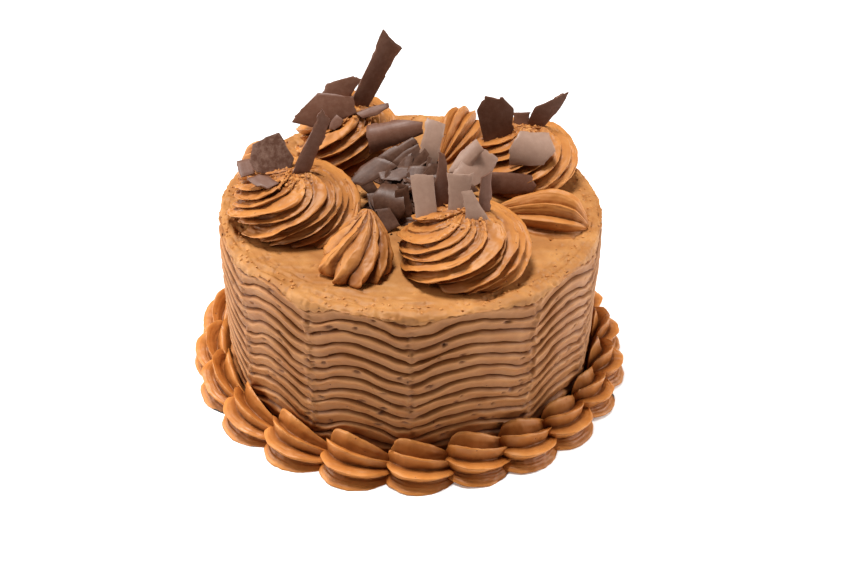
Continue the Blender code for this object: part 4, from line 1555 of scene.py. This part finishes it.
@dataclass(frozen=True)
class Shard:
    """A broken piece of thin chocolate, as a bent sheet that stands on its base edge.

    Widths are at the base, at the waist and at the tip; the waist is a share of the length
    and a shift sideways. Slants are how far the base and the tip edge rise across the
    sheet. Bends are the angles of its arc, across and along.
    """

    name: str
    at: tuple
    yaw: float
    lean: float
    roll: float
    length: float
    widths: tuple
    slants: tuple = (0.0, 0.0)
    waist: tuple = (0.5, 0.0)
    bend: tuple = (0.0, 0.0)
    skin: Skin = Skin.DARK


SHARDS = (
    Shard(
        "shard_left_plate", (-69, -14, 119), -8, 32, -14, 19, (15, 22, 14), (-7, 4), (0.42, 2),
        (25, 0), Skin.BLOOMED,
    ),
    Shard("shard_left_stick", (-57, -17, 117), 10, 4, 25, 39, (8, 8, 6.5), (4, -5), (0.6, 0), (30, 0)),
    Shard("shard_left_flat", (-67, -26.4, 120.7), 0, 72, -58, 12, (6, 8, 5), (-3, -3)),
    Shard("shard_left_side", (-80.9, -8.2, 116.2), 15, 66, -4, 9, (7, 9, 7), (1, 0), (0.45, 0)),
    Shard(
        "shard_back_stick", (-31, 46, 119), 6, 0, 25.5, 49, (9.5, 10.5, 13), (3, -5), (0.5, -0.5),
        (55, 0),
    ),
    Shard("shard_back_point", (-30, 40, 130), -4, 30, -105, 32, (9, 19, 3), (1, -3), (0.55, 1), (28, 18)),
    Shard("shard_back_plate", (-43, 52, 124), -6, 25, 45, 20, (11, 14, 4), (4, 2), (0.35, -2), (20, 0)),
    Shard("shard_back_low", (-27, 38, 125), 4, 58, 70, 16, (4.5, 6, 3), (3, -1), (0.5, 0), (35, 0)),
    Shard("shard_back_bit", (-41.3, 32.2, 119.6), 0, 45, 32, 8, (3, 5, 3), (2, 0)),
    Shard(
        "shard_back_curl", (-22.8, 28.1, 116.2), -5, 32, 75, 29.5, (17, 14, 5), (-2, 0), (0.5, -1),
        (110, 0),
    ),
    Shard("shard_right_plate", (45.5, 29, 112), -5, 2, -8, 29, (13, 18, 8), (3, -2), (0.74, 0), (18, 0)),
    Shard("shard_right_point", (62, 36, 117), 5, 0, 37, 28, (7, 11, 1.6), (5, 1), (0.5, -2.5), (20, 15)),
    Shard(
        "shard_right_curl", (58.7, 7.5, 114.4), 8, 38, 18, 18, (17, 23, 16), (6, 4), (0.45, 1),
        (0, 75), Skin.SATIN,
    ),
    Shard("shard_right_bit", (56.5, 34, 117), 0, 28, 2, 12, (6, 8, 9), (2, 1), (0.5, 0), (15, 0)),
    Shard("shard_right_low", (49, 2, 101), 4, 22, 6, 10, (24, 27, 23), (2, -1), (0.5, 1), (0, 40)),
    Shard(
        "shard_front_plate", (8.5, -48, 116), -6, 28, -9, 22, (11.5, 11, 11), (0, -1), (0.5, 0),
        (12, 0), Skin.SATIN,
    ),
    Shard(
        "shard_front_point", (16.5, -41, 115), 4, 12, -2, 31, (6, 8, 2.4), (0, -1), (0.45, 0),
        (30, 12),
    ),
    Shard(
        "shard_front_wide", (23.5, -50, 117), 3, 26, 2, 23, (10.5, 9, 14), (-1, 0), (0.5, 0),
        (15, 0), Skin.SATIN,
    ),
    Shard(
        "shard_front_tail", (33.5, -57, 119), 6, 24, -20, 18, (12, 6.5, 4), (-4, -1), (0.55, 0),
        (20, 10), Skin.SATIN,
    ),
    Shard("shard_front_upright", (36, -48, 119), 30, 2, 3, 22, (5, 6, 5), (0, 2), (0.5, 0), (25, 0)),
    Shard(
        "shard_middle_long", (6, 4, 107), 6, 30, 16, 31, (8.5, 10, 10.5), (2, -2), (0.55, 0),
        (25, 50), Skin.SATIN,
    ),
    Shard(
        "shard_middle_fold", (21, -1, 114), -30, 30, 30, 20, (6, 10, 7), (2, -1), (0.5, -1),
        (70, 0), Skin.SATIN,
    ),
    Shard(
        "shard_middle_wide", (26, -7, 113), 12, 38, 44, 20, (12, 18, 15), (2, 1), (0.5, 1.5),
        (65, 0), Skin.SATIN,
    ),
    Shard(
        "shard_middle_curl", (-13, -21, 97), -8, 42, 6, 22, (9, 18, 11), (-5, 0), (0.45, 0.5),
        (0, 110), Skin.HEAPED,
    ),
    Shard(
        "shard_middle_plate", (-28, -3, 108), -10, 52, 44, 20, (6, 11, 10), (6, 5), (0.55, -1),
        (22, 0), Skin.HEAPED,
    ),
    Shard(
        "shard_middle_stick", (-13, 9, 116), 0, 44, 56, 18, (6, 5.5, 4.5), (4, 1), (0.5, 0),
        (40, 0), Skin.HEAPED,
    ),
)

HEAP_SHARDS = (
    Shard("sheet_1", (-5, 2, 104), 0, 45, 50, 20, (6, 5.5, 3), (1, 2)),
    Shard("sheet_2", (2, -3, 104), 8, 42, 29, 18, (4.5, 4.5, 3), (-2, -1), bend=(40, 0)),
    Shard("sheet_3", (-15, -9, 107), -6, 60, 78, 19, (3, 6.5, 3), (1, 0)),
    Shard("sheet_4", (-10, -3, 108), 12, 52, 60, 11, (4, 6, 4), (1, 0)),
    Shard("sheet_5", (-3, -15, 95), -12, 22, -7, 18, (6, 6, 6), (-1, -1)),
    Shard("sheet_6", (-14, -14, 96), 10, 55, -20, 14, (6, 7, 4), (-3, -1)),
    Shard("sheet_7", (16, 7, 98), 30, 35, -30, 18, (8, 9, 5), (2, 1), bend=(40, 0)),
    Shard("sheet_8", (10, -12, 97), -25, 35, 15, 16, (7, 8, 5), (1, 2)),
    Shard("sheet_9", (-18, 6, 97), 35, 50, -15, 15, (6, 8, 5), (2, 0)),
    Shard("sheet_10", (-6, 6, 113), 0, 44, 50, 14, (9, 10, 7), (2, -2)),
    Shard("sheet_11", (1, 3, 112), 6, 35, 38, 13, (5, 6, 4), (1, -1)),
    Shard("sheet_12", (-16, -1, 112), 0, 68, 78, 19, (5, 9, 4), (1, 2)),
    Shard("sheet_13", (-3, -16, 97), 5, 20, -5, 15, (8, 8, 6), (-1, 1)),
    Shard("sheet_14", (-9, -25, 95), 16, 48, -14, 12, (10, 9, 7), (1, -2)),
    Shard("sheet_15", (-1, -8, 107), -6, 55, 12, 15, (11, 12, 8), (-2, 2), bend=(30, 0)),
    Shard("sheet_16", (-19, -12, 101), -20, 62, 60, 17, (8, 10, 5), (2, 2)),
    Shard("sheet_17", (4, -9, 106), 20, 40, 40, 18, (7, 8, 5), (-2, 2), bend=(40, 0)),
)


# A sheet's face ripples slightly, and its rim is thinner than its middle
RIPPLE_DEPTH = 0.06
RIPPLE_ALONG = 0.5
RIPPLE_ACROSS = 0.4
RIM_THINNING = 0.55


def arc_offset(distance: float, extent: float, angle: float) -> tuple[float, float]:
    """Bends a straight distance onto an arc.

    Args:
        distance: The distance from the sheet's middle, in millimetres.
        extent: How long the whole arc is.
        angle: How far it turns, in degrees; less than one degree counts as straight.

    Returns:
        The distance once it is bent, and the drop.
    """
    if abs(angle) < 1.0:
        return distance, 0.0
    radius = extent / math.radians(angle)
    turn = distance / radius
    return radius * math.sin(turn), radius * (1.0 - math.cos(turn))


def shard_point(shard: Shard, along: float, across: float) -> Vector:
    """Works out a point of a shard's middle sheet, before the shard is turned.

    Args:
        shard: The shard.
        along: How far from its base to its tip, from 0 to 1.
        across: How far from its left to its right rim, from 0 to 1.

    Returns:
        The point, in millimetres.
    """
    base, middle, tip = shard.widths
    waist_at, waist_shift = shard.waist
    width = blend(((0.0, base), (waist_at, middle), (1.0, tip)), along)
    shift = blend(((0.0, 0.0), (waist_at, waist_shift), (1.0, 0.0)), along)
    slant = blend(((0.0, shard.slants[0]), (1.0, shard.slants[1])), along)
    sideways = shift + width * (across - 0.5)
    forward = shard.length * along + slant * (across - 0.5)
    sideways, drop_across = arc_offset(sideways, max(shard.widths), shard.bend[0])
    forward_middle, drop_along = arc_offset(forward - 0.5 * shard.length, shard.length, shard.bend[1])
    return Vector((sideways, drop_across + drop_along, forward_middle + 0.5 * shard.length))


def snapped_steps(source: random.Random, count: int) -> list:
    """Works out a snapped edge: long straight runs with a few nicks.

    Args:
        source: The shard's random source.
        count: How many points the edge has.

    Returns:
        How far each point is moved, in millimetres.
    """
    steps = []
    level = source.uniform(-0.3, 0.3)
    slope = source.uniform(-0.08, 0.08)
    for _ in range(count):
        level += slope + source.uniform(-0.05, 0.05)
        if source.random() < 0.14:
            level = source.uniform(-0.5, 0.5)
            slope = source.uniform(-0.1, 0.1)
        steps.append(max(-0.7, min(0.7, level)))
    return steps


def shard_mesh(shard: Shard, thickness: float, cell: float) -> tuple[list, list, list, list]:
    """Makes a shard with an uneven, snapped rim.

    Args:
        shard: The shard.
        thickness: Its thickness in millimetres.
        cell: About how far apart its points are.

    Returns:
        The points, the faces, a material index for each face, and each point's flat place.
    """
    source = own_random(f"{shard.name} rim")
    rows = max(4, round(shard.length / cell))
    columns = max(4, round(max(shard.widths) / cell))
    turn = Matrix.Rotation(math.radians(shard.yaw), 3, "Z")
    turn = turn @ Matrix.Rotation(math.radians(-shard.lean), 3, "X")
    turn = turn @ Matrix.Rotation(math.radians(shard.roll), 3, "Y")
    shift = source.uniform(0.0, 100.0)
    rim_steps = [snapped_steps(source, max(rows, columns) + 1) for _ in range(4)]
    middle = []
    for i in range(rows + 1):
        line = []
        for j in range(columns + 1):
            along, across = i / rows, j / columns
            point = shard_point(shard, along, across)
            if j in (0, columns):
                point.x += rim_steps[j > 0][i]
            if i in (0, rows):
                point.z += rim_steps[2 + (i > 0)][j]
            ripple = math.sin(shift + RIPPLE_ALONG * point.z) * math.sin(shift + RIPPLE_ACROSS * point.x)
            point.y += RIPPLE_DEPTH * ripple
            line.append(point)
        middle.append(line)
    points, places = [], []
    for side in (-0.5, 0.5):
        for i in range(rows + 1):
            for j in range(columns + 1):
                up = middle[min(i + 1, rows)][j] - middle[max(i - 1, 0)][j]
                right = middle[i][min(j + 1, columns)] - middle[i][max(j - 1, 0)]
                normal = up.cross(right).normalized()
                near = min(i, rows - i, j, columns - j)
                thick = thickness * (RIM_THINNING if near == 0 else 1.0)
                point = turn @ (middle[i][j] - normal * side * thick) + Vector(shard.at)
                points.append(point)
                places.append((middle[i][j].x, middle[i][j].z))
    wide = columns + 1
    size = (rows + 1) * wide
    faces, which = [], []
    for i in range(rows):
        for j in range(columns):
            a = i * wide + j
            faces.append((a, a + wide, a + wide + 1, a + 1))
            faces.append((size + a, size + a + 1, size + a + wide + 1, size + a + wide))
            which += [0, 0]
    rim = list(range(columns)) + [i * wide + columns for i in range(rows)]
    rim += [rows * wide + j for j in range(columns, 0, -1)] + [i * wide for i in range(rows, 0, -1)]
    for a, b in zip(rim, rim[1:] + rim[:1]):
        faces.append((a, b, size + b, size + a))
        which.append(1)
    return points, faces, which, places


@dataclass
class BrokenChocolate:
    """The shards on the rosettes and the heap in the middle."""

    finishes: Finishes
    thickness: float = 1.15
    cell: float = 0.9
    heap_centre: tuple = (1.0, -1.0)
    heap_radii: tuple = (22.0, 16.0)
    heap_height: float = 17.0
    core_height: float = 11.0
    core_lump: float = 0.2
    loose_count: int = 150
    loose_rise: tuple = (-4.0, 2.0)
    loose_lengths: tuple = (6.0, 17.0)
    loose_widths: tuple = (2.0, 5.5)
    sharp_angle: float = 40.0

    def build(self) -> None:
        """Builds every shard and the heap."""
        for shard in SHARDS:
            piece = self.sheet_object(shard.name, [shard])
            face = getattr(self.finishes, shard.skin.value)
            finish_piece(piece, [shard.name], [face, self.finishes.snapped])
        self.build_heap()

    def sheet_object(self, name: str, shards: Sequence[Shard]) -> bpy.types.Object:
        """Makes one object from one or more sheets, with their flat map in millimetres.

        Args:
            name: The solid's name.
            shards: The sheets.

        Returns:
            The object, its mesh in millimetres.
        """
        points, faces, which, places = [], [], [], []
        for shard in shards:
            start = len(points)
            more_points, more_faces, more_which, more_places = shard_mesh(shard, self.thickness, self.cell)
            points += more_points
            places += more_places
            faces += [tuple(start + corner for corner in face) for face in more_faces]
            which += more_which
        piece = link_mesh(f"{name}_chocolate", points, faces)
        mesh = piece.data
        mesh.polygons.foreach_set("material_index", which)
        sheet = mesh.uv_layers.new(name="sheet")
        for loop in mesh.loops:
            sheet.data[loop.index].uv = places[loop.vertex_index]
        mesh.set_sharp_from_angle(angle=math.radians(self.sharp_angle))
        return piece

    def loose_shards(self) -> list:
        """Strews small shards over the heap's mound.

        Returns:
            The shards.
        """
        source = own_random("loose shards")
        shards = []
        for i in range(self.loose_count):
            turn = source.uniform(0.0, 2.0 * math.pi)
            reach = source.random() ** 0.6
            x = self.heap_centre[0] + self.heap_radii[0] * reach * math.cos(turn)
            y = self.heap_centre[1] + self.heap_radii[1] * reach * math.sin(turn)
            z = CAKE_TOP + self.heap_height * (1.0 - reach ** 2) + source.uniform(*self.loose_rise)
            length = source.uniform(*self.loose_lengths)
            width = source.uniform(*self.loose_widths)
            widths = (width, width * source.uniform(0.8, 1.2), width * source.uniform(0.3, 1.0))
            shards.append(Shard(
                f"loose_{i}", (x, y, z), source.gauss(0.0, 40.0), source.uniform(35.0, 85.0),
                source.uniform(10.0, 90.0), length, widths,
                (source.uniform(-3.0, 3.0), source.uniform(-3.0, 3.0)), (0.5, 0.0),
                (source.choice((0.0, 30.0, 70.0)), 0.0),
            ))
        return shards

    def build_heap(self) -> None:
        """Builds the heap: its sheets, its loose shards and the core under them, drawn near-black as
        painted shadow.
        """
        heap = self.sheet_object("shard_heap", list(HEAP_SHARDS) + self.loose_shards())
        core = bmesh.new()
        core.from_mesh(heap.data)
        grown = bmesh.ops.create_icosphere(core, subdivisions=4, radius=1.0)
        for vert in grown["verts"]:
            for face in vert.link_faces:
                face.material_index = 2
        source = own_random("heap core")
        shift = source.uniform(0.0, 50.0)
        for vert in grown["verts"]:
            place = vert.co.copy()
            lump = 1.0 + self.core_lump * float(lattice_noise(np.array([place]) * 4.0 + shift, 51)[0])
            vert.co.x = self.heap_centre[0] + place.x * self.heap_radii[0] * lump
            vert.co.y = self.heap_centre[1] + place.y * self.heap_radii[1] * lump
            vert.co.z = CAKE_TOP - SINK + max(place.z, 0.0) * self.core_height * lump
        core.to_mesh(heap.data)
        core.free()
        # The heap's sheets take the shade-painted brown, its rims the snapped edge, its core the painted
        # shadow
        finishes = [self.finishes.heaped, self.finishes.snapped, self.finishes.shaded]
        finish_piece(heap, ["shard_heap"], finishes)


# Crumbs

FULL_TURN = 6.28


def scatter_tree() -> PipingTree:
    """The tree that strews crumbs: one shape on every given point, each turned and sized.

    Returns:
        The finished tree.
    """
    tree = PipingTree("strewn crumbs", {
        "Ground": "NodeSocketObject", "Crumb": "NodeSocketObject", "Smallest": "NodeSocketFloat",
        "Largest": "NodeSocketFloat", "Seed": "NodeSocketInt", "Material": "NodeSocketMaterial",
    })
    add, given = tree.wiring.add, tree.given
    ground = add("GeometryNodeObjectInfo", given["Ground"], output="Geometry")
    crumb = add("GeometryNodeObjectInfo", given["Crumb"], output="Geometry")
    turned = add("FunctionNodeRandomValue", data_type="FLOAT_VECTOR", named={
        0: (0.0, 0.0, 0.0), 1: (FULL_TURN, FULL_TURN, FULL_TURN), "Seed": given["Seed"],
    })
    sized = add("FunctionNodeRandomValue", data_type="FLOAT", output=1, named={
        2: given["Smallest"], 3: given["Largest"], "Seed": given["Seed"],
    })
    strewn = add("GeometryNodeInstanceOnPoints", named={
        "Points": ground, "Instance": crumb, "Rotation": turned, "Scale": sized,
    })
    tree.close(strewn)
    return tree


@dataclass(frozen=True)
class CrumbPatch:
    """Crumbs of one stuff that lie on a piece, from one distance from a centre to another."""

    name: str
    ground: str
    centre: tuple
    inner: float
    outer: float
    count: int
    smallest: float
    largest: float
    slot: Slot = Slot.FROSTING


@dataclass
class StrewnCrumbs:
    """Frosting crumbled up on the rim and where shards were pushed in, and chocolate dust."""

    finishes: Finishes
    patches: tuple = (
        CrumbPatch("front_crumbs", "rosette_front_piping", (26.0, -51.0), 0.0, 12.0, 45, 0.3, 1.2),
        CrumbPatch("left_crumbs", "rosette_left_piping", (-61.0, -17.0), 0.0, 14.0, 50, 0.3, 1.3),
        CrumbPatch("back_crumbs", "rosette_back_piping", (-32.0, 46.0), 0.0, 15.0, 60, 0.4, 1.6),
        CrumbPatch("right_crumbs", "rosette_right_piping", (56.0, 31.0), 0.0, 13.0, 45, 0.3, 1.3),
        CrumbPatch("rim_crumbs", "smoothed_top", (0.0, 0.0), 96.6, 88.0, 240, 0.35, 1.0),
        CrumbPatch(
            "chocolate_dust", "smoothed_top", (-2.0, -8.0), 12.0, 34.0, 90, 0.3, 0.9, Slot.CHOCOLATE,
        ),
    )
    start_height: float = 200.0
    evenness: float = 0.8

    def build(self) -> None:
        """Strews every patch over its ground."""
        tree = scatter_tree()
        for patch in self.patches:
            self.strew(tree, patch)

    @staticmethod
    def crumb_shape(slot: Slot) -> bpy.types.Object:
        """Makes one crumb: a lump of frosting or a flat splinter of chocolate.

        Args:
            slot: The record's slot of the stuff that it is made of.

        Returns:
            The crumb's object, about 1 in radius.
        """
        source = own_random(f"crumb {slot.value}")
        crumb = bmesh.new()
        bmesh.ops.create_cube(crumb, size=1.0)
        bmesh.ops.subdivide_edges(crumb, edges=crumb.edges[:], cuts=1, use_grid_fill=True)
        thin = 0.75 if slot is Slot.FROSTING else 0.3
        for vert in crumb.verts:
            vert.co.normalize()
            vert.co *= 1.0 + source.uniform(-0.35, 0.25)
            vert.co.z *= thin
        mesh = bpy.data.meshes.new("crumb")
        crumb.to_mesh(mesh)
        crumb.free()
        shape = bpy.data.objects.new("crumb", mesh)
        bpy.context.scene.collection.objects.link(shape)
        return shape

    def strew(self, tree: PipingTree, patch: CrumbPatch) -> None:
        """Drops a patch's crumbs straight down onto its ground and dresses them.

        Args:
            tree: The scattering tree.
            patch: The patch.
        """
        source = own_random(patch.name)
        shapes = bmesh.new()
        shapes.from_mesh(bpy.data.objects[patch.ground].data)
        surface = BVHTree.FromBMesh(shapes)
        shapes.free()
        places = []
        while len(places) < patch.count:
            turn = source.uniform(0.0, 2.0 * math.pi)
            away = patch.inner + (patch.outer - patch.inner) * source.random() ** self.evenness
            x = patch.centre[0] + away * math.cos(turn)
            y = patch.centre[1] + away * math.sin(turn)
            hit = surface.ray_cast(Vector((x, y, self.start_height)) * MM, Vector((0.0, 0.0, -1.0)))[0]
            if hit:
                places.append(tuple(hit / MM))
        ground = bpy.data.objects.new("ground", bpy.data.meshes.new("ground"))
        ground.data.from_pydata(places, [], [])
        bpy.context.scene.collection.objects.link(ground)
        crumb = self.crumb_shape(patch.slot)
        material = self.finishes.crumbled if patch.slot is Slot.FROSTING else self.finishes.snapped
        piece = tree.run(patch.name, {
            "Ground": ground, "Crumb": crumb, "Smallest": patch.smallest, "Largest": patch.largest,
            "Seed": SEED, "Material": material,
        })
        bpy.data.objects.remove(ground, do_unlink=True)
        bpy.data.objects.remove(crumb, do_unlink=True)
        finish_piece(piece, [])


# Stage

@dataclass
class Studio:
    """A pale floor, soft light and the camera at the photograph's angle.

    The target and the distance are in millimetres, the places of the lights in metres.
    """

    floor_edge: float = 4.0
    floor_grey: float = 0.8
    floor_glow: float = 0.15
    world_strength: float = 0.13
    key_strength: float = 3.5
    key_angle: float = 18.0
    key_place: tuple = (-0.16, 0.06, 1.0)
    softbox_watts: tuple = ((-1.0, 7.2), (1.0, 6.4))
    softbox_size: tuple = (0.8, 0.6)
    softbox_place: tuple = (0.95, 0.05, 0.4)
    aim_height: float = 0.06
    elevation: float = 34.41
    roll: float = 0.71
    target: tuple = (7.51, 0.0, 46.49)
    distance: float = 942.76
    focal_pixels: float = 1800.0
    image_width: int = 849
    sensor: float = 36.0

    def build(self) -> None:
        """Sets up the floor, the lights, the world and the camera."""
        self.add_floor()
        self.add_lights()
        self.add_camera()

    def add_floor(self) -> None:
        """A plain pale floor."""
        mesh = bpy.data.meshes.new("floor")
        edge = self.floor_edge
        corners = [(-edge, -edge, 0), (edge, -edge, 0), (edge, edge, 0), (-edge, edge, 0)]
        mesh.from_pydata(corners, [], [(0, 1, 2, 3)])
        floor = bpy.data.objects.new("floor", mesh)
        bpy.context.scene.collection.objects.link(floor)
        material = bpy.data.materials.new("pale studio paper")
        material.use_nodes = True
        shader = material.node_tree.nodes["Principled BSDF"]
        shader.inputs["Base Color"].default_value = (self.floor_grey,) * 3 + (1.0,)
        shader.inputs["Roughness"].default_value = 0.9
        shader.inputs["Emission Color"].default_value = (1.0, 1.0, 1.0, 1.0)
        shader.inputs["Emission Strength"].default_value = self.floor_glow
        mesh.materials.append(material)

    def add_lights(self) -> None:
        """A soft key from overhead, a little to the left and behind, and a softbox at each side."""
        scene = bpy.context.scene
        world = bpy.data.worlds.new("studio")
        world.use_nodes = True
        background = world.node_tree.nodes["Background"]
        background.inputs["Color"].default_value = (1.0, 1.0, 1.0, 1.0)
        background.inputs["Strength"].default_value = self.world_strength
        scene.world = world
        key = bpy.data.lights.new("key", "SUN")
        key.energy = self.key_strength
        key.angle = math.radians(self.key_angle)
        self.aim(key, Vector(self.key_place))
        out, behind, up = self.softbox_place
        for side, watts in self.softbox_watts:
            box = bpy.data.lights.new("softbox", "AREA")
            box.shape = "RECTANGLE"
            box.size, box.size_y = self.softbox_size
            box.energy = watts
            self.aim(box, Vector((side * out, behind, up)))
        scene.view_settings.view_transform = "Standard"
        scene.view_settings.look = "Medium High Contrast"

    def aim(self, light: bpy.types.Light, place: Vector) -> None:
        """Puts a light at a place and turns it to the cake.

        Args:
            light: The light.
            place: Where it goes, in metres.
        """
        lamp = bpy.data.objects.new(light.name, light)
        bpy.context.scene.collection.objects.link(lamp)
        lamp.location = place
        ahead = Vector((0.0, 0.0, self.aim_height)) - place
        lamp.rotation_euler = ahead.to_track_quat("-Z", "Y").to_euler()

    def add_camera(self) -> None:
        """The camera, at the angle and distance worked out from the photograph."""
        tilt, roll = math.radians(self.elevation), math.radians(self.roll)
        back = Vector((0.0, -math.cos(tilt), math.sin(tilt)))
        level = Vector((1.0, 0.0, 0.0))
        up = level.cross(-back)
        right = level * math.cos(roll) + up * math.sin(roll)
        above = up * math.cos(roll) - level * math.sin(roll)
        matrix = Matrix((right, above, back)).transposed().to_4x4()
        matrix.translation = (Vector(self.target) + back * self.distance) * MM
        lens = bpy.data.cameras.new("camera")
        lens.sensor_width = self.sensor
        lens.lens = self.focal_pixels / self.image_width * self.sensor
        camera = bpy.data.objects.new("camera", lens)
        bpy.context.scene.collection.objects.link(camera)
        camera.matrix_world = matrix
        bpy.context.scene.camera = camera


def main() -> None:
    """Builds the cake and the studio."""
    logging.basicConfig(level=logging.INFO, format="%(name)s %(message)s")
    finishes = Finishes()
    body = CombedBody(finishes)
    body.build()
    SmoothedTop(finishes, body).build()
    PipedTrims(finishes).build()
    BrokenChocolate(finishes).build()
    StrewnCrumbs(finishes).build()
    Studio().build()


if __name__ == "__main__":
    main()
